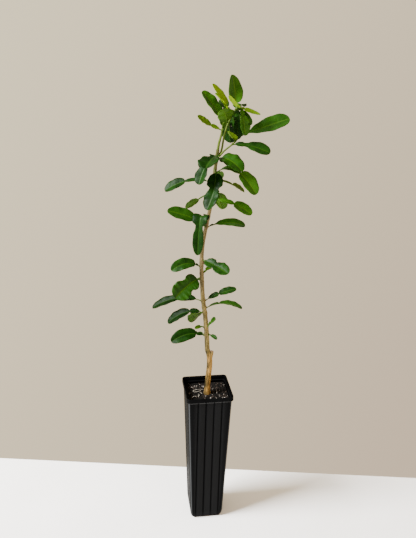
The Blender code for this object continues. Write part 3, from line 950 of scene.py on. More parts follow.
def bud_growth() -> Growth:
    """Make the tree that sets a bud on each point, along its aim.

    Returns:
        The tree, with the inputs Slimness and Finish.
    """
    tree = Growth("buds")
    slimness = tree.input("Slimness")
    finish = tree.input("Finish", "Material")
    put = tree.put
    bud = put("GeometryNodeMeshUVSphere", {"Segments": 8, "Rings": 7, "Radius": 1.0}).outputs[0]
    shape = put("ShaderNodeCombineXYZ", {0: slimness, 1: slimness, 2: 1.0}).outputs[0]
    bud = put("GeometryNodeTransform", {0: bud, "Scale": shape}).outputs[0]
    points = put("GeometryNodeMeshToPoints", {0: tree.seed}).outputs[0]
    aim = put("FunctionNodeAlignRotationToVector", {"Vector": tree.read("aim", "FLOAT_VECTOR")}, axis="Z").outputs[0]
    feeds = {"Points": points, "Instance": bud, "Rotation": aim, "Scale": tree.read("size")}
    tree.finish(put("GeometryNodeInstanceOnPoints", feeds).outputs[0], finish)
    return tree


def crumb_growth(placed: bool = False) -> Growth:
    """Make the tree that strews crumbs over a surface.

    Args:
        placed: Whether each crumb lies on a point of the seed mesh instead.

    Returns:
        The tree, with the inputs Density, Smallest, Largest, Flatness, Seed and Finish.
    """
    tree = Growth("crumbs")
    density = tree.input("Density")
    smallest = tree.input("Smallest")
    largest = tree.input("Largest")
    flatness = tree.input("Flatness")
    seed = tree.input("Seed", "Int")
    finish = tree.input("Finish", "Material")
    put = tree.put
    if placed:
        spots = put("GeometryNodeMeshToPoints", {0: tree.seed})
    else:
        spots = put("GeometryNodeDistributePointsOnFaces", {"Mesh": tree.seed, "Density": density, "Seed": seed})
    crumb = put("GeometryNodeMeshIcoSphere", {"Radius": 1.0, "Subdivisions": 1}).outputs[0]
    spin = put("FunctionNodeRandomValue", {0: (-math.pi,) * 3, 1: (math.pi,) * 3, "Seed": 3},
               data_type="FLOAT_VECTOR").outputs[0]
    spin = put("FunctionNodeEulerToRotation", {0: spin}).outputs[0]
    size = tree.random(smallest, largest, 5)
    long_way = tree.random(0.9, 1.9, 7)
    shape = put("ShaderNodeCombineXYZ", {
        0: tree.math("MULTIPLY", size, long_way), 1: size, 2: tree.math("MULTIPLY", size, flatness)}).outputs[0]
    feeds = {"Points": spots.outputs[0], "Instance": crumb, "Rotation": spin, "Scale": shape}
    strewn = put("GeometryNodeInstanceOnPoints", feeds).outputs[0]
    real = put("GeometryNodeRealizeInstances", {0: strewn}).outputs[0]
    position = put("GeometryNodeInputPosition").outputs[0]
    rough = put("ShaderNodeTexNoise", {"Vector": position, "Scale": 700.0, "Detail": 1.0}).outputs[1]
    push = tree.vector("SCALE", tree.vector("SUBTRACT", rough, (0.5, 0.5, 0.5)), tree.math("MULTIPLY", largest, 1.6))
    tree.finish(tree.displace(real, push), finish, smooth=False)
    return tree


# Sub-assemblies


@dataclass
class Pot:
    """The tall square pot: one shell, up the outside, over the rim and down the inside. Sizes in metres."""

    height: float = 0.356
    rim_width: float = 0.112
    rim_band: float = 0.011
    body_top_width: float = 0.1055
    foot_width: float = 0.081
    wall: float = 0.002
    floor: float = 0.003
    corner_radius: float = 0.008
    corner_steps: int = 9
    groove_count: int = 4
    groove_pitch: float = 0.019
    groove_spread: float = 0.0011
    groove_depth: float = 0.0016
    foot_profile: tuple[tuple[float, float], ...] = ((0.0, 0.0046), (0.003, 0.0026), (0.009, 0.0009), (0.018, 0.0))

    def body_width(self, height: float) -> float:
        """Outer width of the body at a height, with its foot tucked in."""
        straight = self.foot_width + (self.body_top_width - self.foot_width) * height / (self.height - self.rim_band)
        return straight - 2 * float(np.interp(height, *np.array(self.foot_profile).T))

    def inner_width(self, height: float) -> float:
        """Inner width of the body at a height."""
        return self.body_width(height) - 2 * self.wall

    def side(self, half: float, radius: float, groove: float) -> list[tuple[float, float]]:
        """Outline of the front side, from its left corner to its right one.

        Args:
            half: Half the pot's width there.
            radius: Radius of the corners.
            groove: Depth of the grooves.

        Returns:
            Points of the outline.
        """
        flat = half - radius
        turns = [math.radians(225 + 45 * k / self.corner_steps) for k in range(self.corner_steps)]
        left = [(-flat + radius * math.cos(a), -flat + radius * math.sin(a)) for a in turns]
        grooves = [(k - (self.groove_count - 1) / 2) * self.groove_pitch for k in range(self.groove_count)]
        stops = sorted(g + step * self.groove_spread for g in grooves for step in (-2.6, -1.6, -0.8, 0, 0.8, 1.6, 2.6))
        stops = [-flat, *stops, flat]
        front = [(x, -half + groove * sum(math.exp(-((x - g) / self.groove_spread) ** 2) for g in grooves))
                 for x in stops]
        turns = [math.radians(270 + 45 * k / self.corner_steps) for k in range(1, self.corner_steps)]
        right = [(flat + radius * math.cos(a), -flat + radius * math.sin(a)) for a in turns]
        return left + front + right

    def ring(self, width: float, height: float, radius: float | None = None, groove: float = 0.0) -> np.ndarray:
        """One level ring round the pot.

        Args:
            width: Its width.
            height: Its height.
            radius: Radius of its corners, if not the outer one.
            groove: Depth of its grooves.

        Returns:
            The ring's points.
        """
        outline = np.array(self.side(width / 2, radius or self.corner_radius, groove))
        rings = []
        for quarter in range(4):
            c, s = round(math.cos(math.tau / 4 * quarter)), round(math.sin(math.tau / 4 * quarter))
            rings.append(outline @ np.array(((c, s), (-s, c))))
        flat = np.concatenate(rings)
        return np.column_stack((flat, np.full(len(flat), height)))

    def painted_light(self, ring: np.ndarray, level: float) -> np.ndarray:
        """Painted light on each point of a ring: painted highlights on the corners,
        and painted shade in the grooves with painted highlights along their edges.

        Args:
            ring: The ring's points.
            level: The painted light on the whole ring; under zero it is painted shade, for the rim's shade or the
                inside.

        Returns:
            The painted light, from -1 for painted shade to 1 for a painted highlight.
        """
        flat = np.abs(ring[:, :2])
        if level < 0:
            return np.full(len(ring), level)
        corner = np.exp(-(((flat[:, 0] - flat[:, 1]) / (0.32 * self.corner_radius)) ** 2))
        along = flat.min(axis=1)
        from_groove = np.minimum(abs(along - self.groove_pitch / 2), abs(along - self.groove_pitch * 1.5))
        groove = np.exp(-((from_groove / self.groove_spread) ** 2))
        edge = np.exp(-(((from_groove - 2.6 * self.groove_spread) / self.groove_spread) ** 2))
        return np.clip(level + 0.8 * corner + 0.2 * edge - 0.7 * groove, -1.0, 1.0)

    def rings(self) -> list[tuple[np.ndarray, float]]:
        """The shell's rings, from the underside up the outside and down the inside.

        Returns:
            The rings, each with its level of painted light.
        """
        under_rim = self.height - self.rim_band
        inner = self.corner_radius - self.wall
        tucked = self.foot_profile[-1][0]
        rings = [(self.ring(self.body_width(0.0) - 2 * MM, 0.0), 0.0)]
        rings += [(self.ring(self.body_width(h), h), 0.0) for h in np.linspace(0.0, tucked, 13)]
        for height in np.linspace(tucked + 3 * MM, under_rim - 5 * MM, 9):
            rings.append((self.ring(self.body_width(height), height, groove=self.groove_depth), 0.0))
        # Painted highlights just under the rim; painted shade under its lip, over the rim and darkest down the inside.
        rings += [(self.ring(self.body_width(under_rim - drop), under_rim - drop), level)
                  for drop, level in ((3.5 * MM, 0.1), (2.4 * MM, 0.9), (1 * MM, 0.7))]
        rings.append((self.ring(self.body_top_width + 0.6 * MM, under_rim - 0.3 * MM), -0.6))
        rings += [(self.ring(self.rim_width - 2 * MM * (1 - math.sin(a)), under_rim + 1 * MM * (1 - math.cos(a))),
                   -0.35) for a in np.linspace(0.0, math.pi / 2, 4)]
        rings += [(self.ring(self.rim_width - 0.4 * MM, self.height - 5 * MM), -0.35)]
        rings += [(self.ring(self.rim_width - 0.4 * MM - 2.4 * MM * (1 - math.cos(a)),
                             self.height - 1.2 * MM * (1 - math.sin(a))), -0.3)
                  for a in np.linspace(0.0, math.pi / 2, 6)]
        rings += [(self.ring(self.rim_width - 2 * self.wall, self.height - 0.8 * MM, inner), -0.2)]
        rings += [(self.ring(self.rim_width - 2 * self.wall, under_rim + 1 * MM, inner), -0.9)]
        rings += [(self.ring(self.inner_width(under_rim), under_rim - 1.5 * MM, inner), -0.2)]
        rings += [(self.ring(self.inner_width(h), h, inner), -1.0)
                  for h in (under_rim - 3 * MM, 0.15, tucked, tucked / 2, self.floor)]
        return rings

    def build(self) -> None:
        """Build the shell and set it in place of the pot's node."""
        rings, levels = zip(*self.rings())
        count = len(rings[0])
        faces = []
        for k in range(len(rings) - 1):
            low, high = k * count, (k + 1) * count
            faces += [(low + i, low + (i + 1) % count, high + (i + 1) % count, high + i) for i in range(count)]
        faces += [tuple(reversed(range(count))), tuple(range((len(rings) - 1) * count, len(rings) * count))]
        mesh = bpy.data.meshes.new("pot_shell")
        mesh.from_pydata(np.concatenate(rings).tolist(), [], faces)
        # Painted highlights and painted shade, stored as an attribute on the points.
        painted_light = np.concatenate([self.painted_light(ring, level) for ring, level in zip(rings, levels)])
        mesh.attributes.new("painted_light", "FLOAT", "POINT").data.foreach_set("value", painted_light.astype(np.float32))
        mesh.shade_smooth()
        mesh.set_sharp_from_angle(angle=math.radians(38))
        mesh.materials.append(POT_PLASTIC.material())
        piece = bpy.data.objects.new("pot_shell", mesh)
        bpy.context.scene.collection.objects.link(piece)
        set_piece(piece, ("pot",))


@dataclass
class PottingMix:
    """The potting mix: a block with a rough top, strewn with bark bits and perlite. Sizes in metres."""

    pot: Pot
    top: float = 0.338
    cells: int = 84
    roughness: float = 0.0045
    chips: tuple[tuple[float, float], ...] = (
        (-31, 28), (-27, 27), (-13, 30), (-9, 28), (31, -14), (41, -6), (14, 18), (24, 2), (-43, -6), (-3, -18),
        (30, 12), (9, -24), (-38, 22), (37, -22), (20, -30),
    )
    fibres: tuple[tuple[Place, ...], ...] = (
        ((-8, 14, 340), (-20, 10, 342), (-32, 7, 341), (-33, 0, 341), (-25, 0, 341), (-15, 6, 341)),
        ((-21, -8, 340), (-19, -15, 341), (-21, -21, 340)),
        ((-36, -26, 340), (-31, -21, 341), (-24, -19, 340)),
        ((-17, -1, 340), (-12, -6, 340)),
    )

    def block(self) -> bpy.types.Mesh:
        """Make the block: a fine grid on top, and a skirt down to the pot's floor.

        Returns:
            The mesh, with the attribute loose, which is 1 where the top is free to move.
        """
        half = self.pot.inner_width(self.top) / 2 - GAP
        corner = self.pot.corner_radius - self.pot.wall
        line = np.linspace(-1.0, 1.0, self.cells + 1)
        x, y = np.meshgrid(line * half, line * half, indexing="ij")
        inner = half - corner
        over = np.stack((np.maximum(np.abs(x) - inner, 0.0), np.maximum(np.abs(y) - inner, 0.0)))
        reach = np.hypot(*over)
        square = np.maximum(over[0], over[1])
        pull = np.where(reach > 1e-9, square / np.maximum(reach, 1e-9), 1.0)
        x = np.sign(x) * (np.minimum(np.abs(x), inner) + over[0] * pull)
        y = np.sign(y) * (np.minimum(np.abs(y), inner) + over[1] * pull)
        n = self.cells + 1
        top = np.stack((x.ravel(), y.ravel(), np.full(n * n, self.top)), axis=1)
        faces = [(i * n + j, (i + 1) * n + j, (i + 1) * n + j + 1, i * n + j + 1)
                 for i in range(self.cells) for j in range(self.cells)]
        brim = [i * n for i in range(n)] + [(n - 1) * n + j for j in range(1, n)]
        brim += [i * n + n - 1 for i in range(n - 2, -1, -1)] + [j for j in range(n - 2, 0, -1)]
        foot_height = self.pot.floor + GAP
        shrink = self.pot.inner_width(foot_height) / self.pot.inner_width(self.top)
        foot = top[brim] * (shrink, shrink, 0.0) + (0.0, 0.0, foot_height)
        first = n * n
        count = len(brim)
        faces += [(brim[k], first + k, first + (k + 1) % count, brim[(k + 1) % count]) for k in range(count)]
        faces.append(tuple(first + k for k in range(count)))
        mesh = bpy.data.meshes.new("mix_seed")
        mesh.from_pydata(np.concatenate((top, foot)).tolist(), [], faces)
        edge = np.maximum(np.abs(top[:, 0]), np.abs(top[:, 1])) / half
        loose = np.concatenate((np.clip((1.0 - edge) * 12, 0, 1), np.zeros(count)))
        mesh.attributes.new("loose", "FLOAT", "POINT").data.foreach_set("value", loose.astype(np.float32))
        return mesh

    def surface_growth(self) -> Growth:
        """Make the tree that roughens the block's top.

        Returns:
            The tree, with the inputs Roughness and Finish.
        """
        tree = Growth("mix_surface")
        roughness = tree.input("Roughness")
        finish = tree.input("Finish", "Material")
        place = tree.put("GeometryNodeInputPosition").outputs[0]
        lumps = tree.noise(place, 75.0)
        crumbs = tree.noise(place, 420.0)
        height = tree.math("ADD", tree.math("SUBTRACT", lumps, 0.5), tree.math(
            "MULTIPLY", tree.math("SUBTRACT", crumbs, 0.5), 0.6))
        height = tree.math("MULTIPLY", tree.math("MULTIPLY", height, tree.read("loose")), roughness)
        up = tree.put("ShaderNodeCombineXYZ", {2: height}).outputs[0]
        tree.finish(tree.displace(tree.seed, up), finish)
        return tree

    def build(self, limbs: Growth) -> None:
        """Build the block and strew it.

        Args:
            limbs: The tree that grows limbs, for the loose fibres.
        """
        seed = self.block()
        seed_top = self.top_only(seed)
        values = {"Roughness": self.roughness, "Finish": MIX_SOIL.material()}
        set_piece(self.surface_growth().grow("potting_mix", seed, values), ("soil",))
        crumbs = crumb_growth()
        strewn = (
            ("mix_bark", 26000.0, 0.7, 2.3, 0.55, 21, BARK_BIT, "potting_mix"),
            ("mix_crumbs", 90000.0, 0.5, 1.3, 0.8, 33, MIX_SOIL, "potting_mix"),
            ("mix_perlite", 1800.0, 0.6, 1.2, 0.8, 48, PERLITE, None),
        )
        for name, density, smallest, largest, flatness, draw, finish, slot in strewn:
            values = {"Density": density, "Smallest": smallest * MM, "Largest": largest * MM, "Flatness": flatness,
                      "Seed": draw, "Finish": finish.material()}
            set_piece(crumbs.grow(name, seed_top.copy(), values))
        spots = bpy.data.meshes.new("chip_seed")
        spots.from_pydata(turned(np.array([(x * MM, y * MM, self.top + 1 * MM) for x, y in self.chips])).tolist(), [], [])
        values = {"Smallest": 1.8 * MM, "Largest": 3.0 * MM, "Flatness": 0.6, "Finish": PALE_CHIP.material()}
        set_piece(crumb_growth(placed=True).grow("mix_chips", spots, values))
        lines = [smooth_course(course, 40) for course in self.fibres]
        seed = seed_lines("fibre_seed", lines, {"girth": [np.full(40, 0.6 * MM)] * len(lines)})
        values = {"Sides": 8, "Relief": 0.8 * MM, "Grain": 300.0, "Finish": FIBRE.material()}
        set_piece(limbs.grow("mix_fibres", seed, values))

    def top_only(self, block: bpy.types.Mesh) -> bpy.types.Mesh:
        """Make a level square over the block's top, for crumbs to lie on.

        Args:
            block: The block's mesh; not used.

        Returns:
            The level square inside the pot's wall.
        """
        half = self.pot.inner_width(self.top) / 2 - 3 * MM
        mesh = bpy.data.meshes.new("mix_top")
        corners = [(-half, -half, self.top), (half, -half, self.top), (half, half, self.top), (-half, half, self.top)]
        mesh.from_pydata(corners, [], [(0, 1, 2, 3)])
        return mesh


@dataclass
class Trunk:
    """Rootstock, graft and stem, with the rootstock's cut-off stub. Radii in metres, courses in millimetres."""

    soil: float = 0.338
    rootstock_radius: float = 0.0066
    flare_radius: float = 0.0088
    flare_height: float = 0.030
    graft: float = 0.438
    graft_swell: float = 0.0009
    graft_spread: float = 0.012
    stem_foot_radius: float = 0.0058
    stem_tip_radius: float = 0.0034
    taper: float = 1.2
    course_steps: int = 32
    course: tuple[Place, ...] = (
        (0, 0, 338.3), (1, 1, 374), (4, 2, 412), (3, 1, 438), (-2, 0, 458), (-4, -1, 490),
        (-9, -2, 545), (-15, 0, 585), (-18, 3, 625), (-20, 4, 670), (-18, 3, 715), (-11, 1, 758),
        (-5, 0, 790), (1, 1, 830), (5, 2, 883), (10, 2, 926),
    )
    stub_course: tuple[Place, ...] = ((3, 1, 424), (6, 0, 438), (9, -1, 452))
    stub_radii: tuple[float, ...] = (0.0050, 0.0052, 0.0042)

    def radius(self, height: np.ndarray) -> np.ndarray:
        """Radius at heights: root flare, rootstock, graft swell and tapering stem.

        Args:
            height: The heights, metres.

        Returns:
            The radii, metres.
        """
        swell = self.graft_swell * np.exp(-(((height - self.graft) / self.graft_spread) ** 2))
        flare = (self.flare_radius - self.rootstock_radius) * np.clip(
            1 - (height - self.soil) / self.flare_height, 0.0, 1.0) ** 2
        top = self.course[-1][2] * MM
        left = np.clip((top - height) / (top - self.graft), 0.0, 1.0)
        stem = self.stem_tip_radius + (self.stem_foot_radius - self.stem_tip_radius) * left**self.taper + swell / 2
        return np.where(height < self.graft, self.rootstock_radius + flare - swell / 2, stem)

    def centre(self, height: float) -> np.ndarray:
        """The trunk's centre at a height, as the model has it."""
        course = smooth_course(self.course, self.course_steps)
        return np.array([np.interp(height, course[:, 2], course[:, k]) for k in range(3)])

    def leaf_root(self, leaf: Leaf) -> np.ndarray:
        """Where a leaf on the trunk starts, just clear of the bark."""
        height = leaf.root * MM
        root = self.centre(height) + leaf.ahead() * (float(self.radius(np.array(height))) + GAP)
        return root + (0.0, 0.0, LeafRule.PETIOLE_DEPTH / 2)

    def build(self, limbs: Growth, leaves: Sequence[Leaf]) -> None:
        """Build the bark and the stub's cut.

        Args:
            limbs: The tree that grows limbs.
            leaves: The leaves on the trunk, which each stand on a small swelling.
        """
        course = smooth_course(((0, 0, 334), *self.course), 560)
        girth = self.radius(course[:, 2])
        for leaf in leaves:
            girth = girth + 0.5 * MM * np.exp(-(((course[:, 2] - leaf.root * MM) / (3 * MM)) ** 2))
        stub = smooth_course(self.stub_course, 40)
        stub_girth = np.interp(np.linspace(0, 1, 40), np.linspace(0, 1, len(self.stub_radii)), self.stub_radii)
        seed = seed_lines("trunk_seed", (course, stub), {"girth": (girth, stub_girth)})
        values = {"Sides": 40, "Relief": 1.5 * MM, "Grain": 520.0, "Finish": TRUNK_BARK.material()}
        set_piece(limbs.grow("trunk_bark", seed, values), ("trunk",))
        along = (stub[-1] - stub[-2]) / np.linalg.norm(stub[-1] - stub[-2])
        cut = np.array([stub[-1] + along * step for step in (-1.0 * MM, 0.05 * MM, 0.35 * MM)])
        seed = seed_lines("cut_seed", (cut,), {"girth": (np.array((0.97, 0.95, 0.80)) * self.stub_radii[-1],)})
        values = {"Sides": 32, "Relief": 0.2 * MM, "Grain": 900.0, "Finish": STUB_CUT.material()}
        set_piece(limbs.grow("stub_cut", seed, values))


@dataclass(frozen=True)
class Branch:
    """A shoot and the twig that grows on from it, with its leaves. Courses in millimetres, radii in metres."""

    shoot: str
    crown: str
    sunk: Place
    shoot_course: tuple[Place, ...]
    foot_radius: float
    shoot_radius: float
    twig_course: tuple[Place, ...]
    tip_radius: float
    leaves: tuple[Leaf, ...]

    STEPS = 7

    def twig(self, count: int) -> np.ndarray:
        """Read points of the twig, from just past the shoot's tip."""
        tip, before = smooth_course(self.shoot_course, self.STEPS)[:-3:-1]
        foot = tip + (tip - before) / np.linalg.norm(tip - before) * GAP
        return smooth_course((tuple(foot / MM), *self.twig_course), count)

    def leaf_root(self, leaf: Leaf) -> np.ndarray:
        """Where a leaf on the twig starts."""
        course = self.twig(self.STEPS)
        place = leaf.root * (self.STEPS - 1)
        root = np.array([np.interp(place, range(self.STEPS), course[:, k]) for k in range(3)])
        return root + (0.0, 0.0, LeafRule.PETIOLE_DEPTH / 2)

    def line(self) -> tuple[np.ndarray, np.ndarray]:
        """The shoot and its twig as one line, from inside the trunk.

        Returns:
            The line's points, and its girth as radii, metres.
        """
        shoot = smooth_course((self.sunk, *self.shoot_course), 40)
        twig = self.twig(40)[1:]
        girth = np.concatenate((np.linspace(self.foot_radius, self.shoot_radius, 40),
                                np.linspace(self.shoot_radius, self.tip_radius, 39)))
        return np.vstack((shoot, twig)), girth


# Single leaves up the trunk
# Tones are set leaf by leaf, partly as painted light and shade: darker where the key light strikes, lighter where a
# leaf is turned from it or in shadow.
TRUNK_LEAVES = (
    Leaf(497, 315, 28, 3, 3, 0, 10, 3, 0.30, 20, Tone.DEEP),
    Leaf(494, 195, 79, 10, 11, 0, 31, 8, 0.25, 45, Tone.DARK),
    Leaf(495, 150, 50, 20, 4, 0, 22, 12, 0.40, 10, Tone.MID),
    Leaf(516, 215, 26, -2, 3, 0, 9, 3, 0.35, 30, Tone.FRESH),
    Leaf(519, 310, 28, -26, 2, 0, 20, 13, 0.36, 40, Tone.MID),
    Leaf(549, 125, 49, 44, 8, 0, 40, 10, 0.15, 0, Tone.FRESH, crest=0.40),
    Leaf(552, 175, 81, 33, 13, 0, 27, 14, 0.33, 30, Tone.NIGHT),
    Leaf(565, 350, 83, -4, 12, 0, 24, 13, 0.36, 0, Tone.MID),
    Leaf(581, 172, 115, 29, 14, 0, 25, 20, 0.44, 35, Tone.NIGHT, neck=0.65),
    Leaf(582, 5, 71, -26, 4, 0, 19, 14, 0.45, 35, Tone.DEEP, neck=0.24),
    Leaf(625, 115, 60, 25, 8, 0, 26, 14, 0.40, 0, Tone.MID),
    Leaf(635, 218, 69, 34, 6, 0, 46, 40, 0.44, 50, Tone.MID, neck=0.80),
    Leaf(645, 50, 32, -6, 2, 0, 14, 6, 0.35, 0, Tone.FRESH),
    Leaf(664, 200, 66, 6, 11, 0, 28, 6, 0.15, 45, Tone.DEEP, crest=0.56),
    Leaf(672, 75, 45, 25, 8, 0, 20, 12, 0.40, 0, Tone.MID),
    Leaf(679, 320, 73, 16, 2, 0, 32, 26, 0.45, 35, Tone.DEEP, neck=0.70),
    Leaf(757, 10, 84, 1, 8, 0, 25, 5, 0.15, 30, Tone.MID, crest=0.68),
    Leaf(758, 243, 34, 58, 51, 3, 25, 36, 0.45, 0, Tone.DARK, neck=0.70),
    Leaf(764, 185, 83, -28, 3, 0, 32, 17, 0.27, 45, Tone.MID, neck=0.60),
    Leaf(780, 100, 60, 40, 12, 0, 24, 14, 0.40, 0, Tone.DARK),
    Leaf(818, 350, 85, 28, 8, 0, 27, 12, 0.50, 35, Tone.RICH),
    Leaf(833, 155, 61, 43, 3, 0, 18, 3, 0.48, -45, Tone.FRESH),
    Leaf(840, 62, 40, 53, 12, 0, 36, 12, 0.30, 0, Tone.FRESH),
    Leaf(856, 175, 103, 24, 13, 0, 28, 10, 0.54, 40, Tone.DARK, neck=0.50),
    Leaf(862, 15, 66, 30, 5, 0, 22, 8, 0.55, 20, Tone.OLIVE),
    Leaf(870, 78, 60, 20, 12, 0, 22, 14, 0.40, 0, Tone.RICH),
    Leaf(879, 340, 90, 42, 26, 0, 34, 14, 0.50, 40, Tone.RICH),
    Leaf(885, 254, 52, 79, 5, -8, 34, 34, 0.50, 0, Tone.DARK, neck=0.62),
    Leaf(898, 225, 46, 42, 20, 0, 30, 14, 0.40, 10, Tone.DARK, crest=0.60, neck=0.60),
    Leaf(906, 325, 62, 20, 10, 0, 39, 8, 0.13, 25, Tone.MID, crest=0.44, neck=0.80),
    Leaf(905, 120, 60, 30, 12, 0, 28, 14, 0.40, 0, Tone.DEEP),
    Leaf(914, 246, 54, 21, 4, 0, 45, 24, 0.22, 0, Tone.DARK, crest=0.60, neck=0.70),
)

# Tones here too are partly painted light and shade, as on the trunk's leaves.
BRANCHES = (
    Branch(
        "shoot_left", "crown_left", (9, 2, 918),
        ((10, 2, 926.3), (12, 1, 940), (15, -1, 952), (17, -3, 962)), 0.0031, 0.0022,
        ((20, -6, 980), (26, -9, 998), (30, -11, 1012)), 0.0013, (
            Leaf(0.10, 185, 52, -28, -4, 0, 17, 12, 0.43, 35, Tone.OLIVE),
            Leaf(0.08, 270, 42, -45, 0, -8, 34, 15, 0.42, -30, Tone.FRESH),
            Leaf(0.40, 175, 47, -60, 3, 0, 30, 10, 0.15, 35, Tone.RICH),
            Leaf(0.60, 100, 45, -30, 6, 0, 22, 12, 0.40, 0, Tone.DEEP),
            Leaf(0.88, 215, 34, -33, 3, 0, 25, 4, 0.15, 30, Tone.GOLD, crest=0.40),
            Leaf(0.97, 200, 37, -48, 1, 0, 24, 4, 0.15, 50, Tone.GOLD, crest=0.36),
        ),
    ),
    Branch(
        "shoot_leader", "crown_leader", (9, 1, 911),
        ((14.6, 3.2, 917), (18.6, 4, 929), (22, 5, 953), (28, 7, 975)), 0.0023, 0.0020,
        ((37, 10, 995), (46, 9, 1010), (56, -4, 1014)), 0.0014, (
            Leaf(0.11, 82, 40, 48, 9, 0, 38, 14, 0.30, 0, Tone.DARK),
            Leaf(0.49, 275, 24, 8, 6, 0, 22, 10, 0.35, 0, Tone.DEEP),
            Leaf(0.39, 110, 44, 30, 8, 0, 28, 14, 0.40, 0, Tone.FRESH),
            Leaf(0.57, 300, 16, 58, 10, 0, 22, 12, 0.35, 0, Tone.DEEP),
            Leaf(0.64, 112, 25, -68, -5, 3, 35, 14, 0.18, 0, Tone.RICH),
            Leaf(0.75, 60, 30, -1, 6, 0, 18, 10, 0.40, 0, Tone.MID),
            Leaf(0.81, 95, 38, 34, 8, 0, 24, 12, 0.40, 0, Tone.RICH),
            Leaf(0.91, 310, 19, 56, 12, 0, 28, 12, 0.30, 0, Tone.RICH),
            Leaf(0.98, 200, 29, -22, -4, 0, 16, 5, 0.20, 40, Tone.LIME, crest=0.54),
            Leaf(0.95, 348, 42, 13, -1, 0, 12, 7, 0.20, 40, Tone.OLIVE, crest=0.35, neck=0.70),
            Leaf(0.85, 345, 28, 34, -1, 0, 18, 4, 0.20, 50, Tone.MID),
            Leaf(0.40, 80, 30, 30, 6, 0, 26, 8, 0.25, 0, Tone.DEEP),
            Leaf(0.40, 60, 14, 30, 6, 0, 26, 8, 0.25, 0, Tone.DEEP),
        ),
    ),
    Branch(
        "shoot_right", "crown_right", (8, 1, 909),
        ((13.6, -0.2, 913), (24, -2, 925), (36, -3, 935)), 0.0021, 0.0018,
        ((46, 0, 944), (60, 8, 959)), 0.0012, (
            Leaf(0.52, 232, 25, -21, 0, 0, 22, 8, 0.20, 0, Tone.OLIVE, crest=0.34),
            Leaf(0.18, 350, 81, 15, 5, 0, 28, 13, 0.32, 40, Tone.DEEP, crest=0.62, neck=0.80),
            Leaf(0.44, 60, 45, -12, 4, 0, 20, 12, 0.40, 0, Tone.DEEP),
            Leaf(0.93, 5, 102, -35, 0, 0, 37, 8, 0.13, 50, Tone.MID, crest=0.68, neck=0.60),
        ),
    ),
)


@dataclass
class Foliage:
    """All the leaves, joined by tone, with their ribs, and the buds in their axils. Sizes in metres."""

    trunk: Trunk
    thickness: float = 0.0005
    columns: int = 13
    rib_sides: int = 8
    bud_length: float = 0.0015
    tip_bud_length: float = 0.0028

    rule: LeafRule = field(default_factory=lambda: LeafRule(SEED))

    def placed(self) -> list[tuple[Leaf, np.ndarray, str]]:
        """List every leaf with its root and the node that it is part of.

        Returns:
            The leaves.
        """
        rows = [(leaf, self.trunk.leaf_root(leaf), f"leaf_{number:02d}")
                for number, leaf in enumerate(TRUNK_LEAVES, start=1)]
        for branch in BRANCHES:
            rows += [(leaf, branch.leaf_root(leaf), branch.crown) for leaf in branch.leaves]
        return rows

    def build(self, limbs: Growth) -> None:
        """Build the leaves, the ribs and the buds.

        Args:
            limbs: The tree that grows limbs.
        """
        rows = self.placed()
        sheets = [(leaf, node, self.rule.sheet(leaf, root)) for leaf, root, node in rows]
        tree = leaf_growth()
        for tone in Tone:
            mine = [(node, sheet) for leaf, node, sheet in sheets if leaf.tone is tone]
            lines = [sheet["line"] for _, sheet in mine]
            facts = {key: [sheet[key] for _, sheet in mine] for key in mine[0][1] if key != "line"}
            name = "leaves_" + tone.name.lower()
            sheet = tone.sheet(self.thickness)
            values = {"Columns": self.columns, "Finish": sheet.upper}
            piece = tree.grow(name, seed_lines(name + "_seed", lines, facts), values, sheet)
            set_piece(piece, sorted({node for node, _ in mine}))
        ribs = [self.rule.rib(leaf, root) for leaf, root, _ in rows]
        seed = seed_lines("rib_seed", [line for line, _ in ribs], {"girth": [girth for _, girth in ribs]})
        values = {"Sides": self.rib_sides, "Relief": 0.1 * MM, "Grain": 600.0, "Finish": STALK_GREEN.material()}
        set_piece(limbs.grow("leaf_ribs", seed, values))
        self.build_buds(rows)

    def build_buds(self, rows: Sequence[tuple[Leaf, np.ndarray, str]]) -> None:
        """Set a bud in each axil and at each twig's tip.

        Args:
            rows: The leaves with their roots and nodes.
        """
        up = np.array((0.0, 0.0, 1.0))
        points = [root + up * self.bud_length * 1.2 - leaf.ahead() * 0.2 * MM for leaf, root, _ in rows]
        aims = [leaf.ahead() * 0.7 + up for leaf, _, _ in rows]
        sizes = [self.bud_length] * len(rows)
        for branch in BRANCHES:
            before, tip = branch.twig(40)[-2:]
            points.append(tip + (tip - before) * 0.5)
            aims.append((tip - before) / np.linalg.norm(tip - before))
            sizes.append(self.tip_bud_length)
        mesh = bpy.data.meshes.new("bud_seed")
        mesh.from_pydata(turned(np.array(points)).tolist(), [], [])
        aims = turned(np.array(aims)).astype(np.float32).ravel()
        mesh.attributes.new("aim", "FLOAT_VECTOR", "POINT").data.foreach_set("vector", aims)
        mesh.attributes.new("size", "FLOAT", "POINT").data.foreach_set("value", np.array(sizes, np.float32))
        values = {"Slimness": 0.55, "Finish": SHOOT_BARK.material()}
        set_piece(bud_growth().grow("buds", mesh, values))


def build_shoots(limbs: Growth) -> None:
    """Build the three shoots with their twigs as one piece.

    Args:
        limbs: The tree that grows limbs.
    """
    lines = [branch.line() for branch in BRANCHES]
    seed = seed_lines("shoot_seed", [line for line, _ in lines], {"girth": [girth for _, girth in lines]})
    values = {"Sides": 20, "Relief": 0.35 * MM, "Grain": 700.0, "Finish": SHOOT_BARK.material()}
    nodes = [name for branch in BRANCHES for name in (branch.shoot, branch.crown)]
    set_piece(limbs.grow("green_shoots", seed, values), nodes)


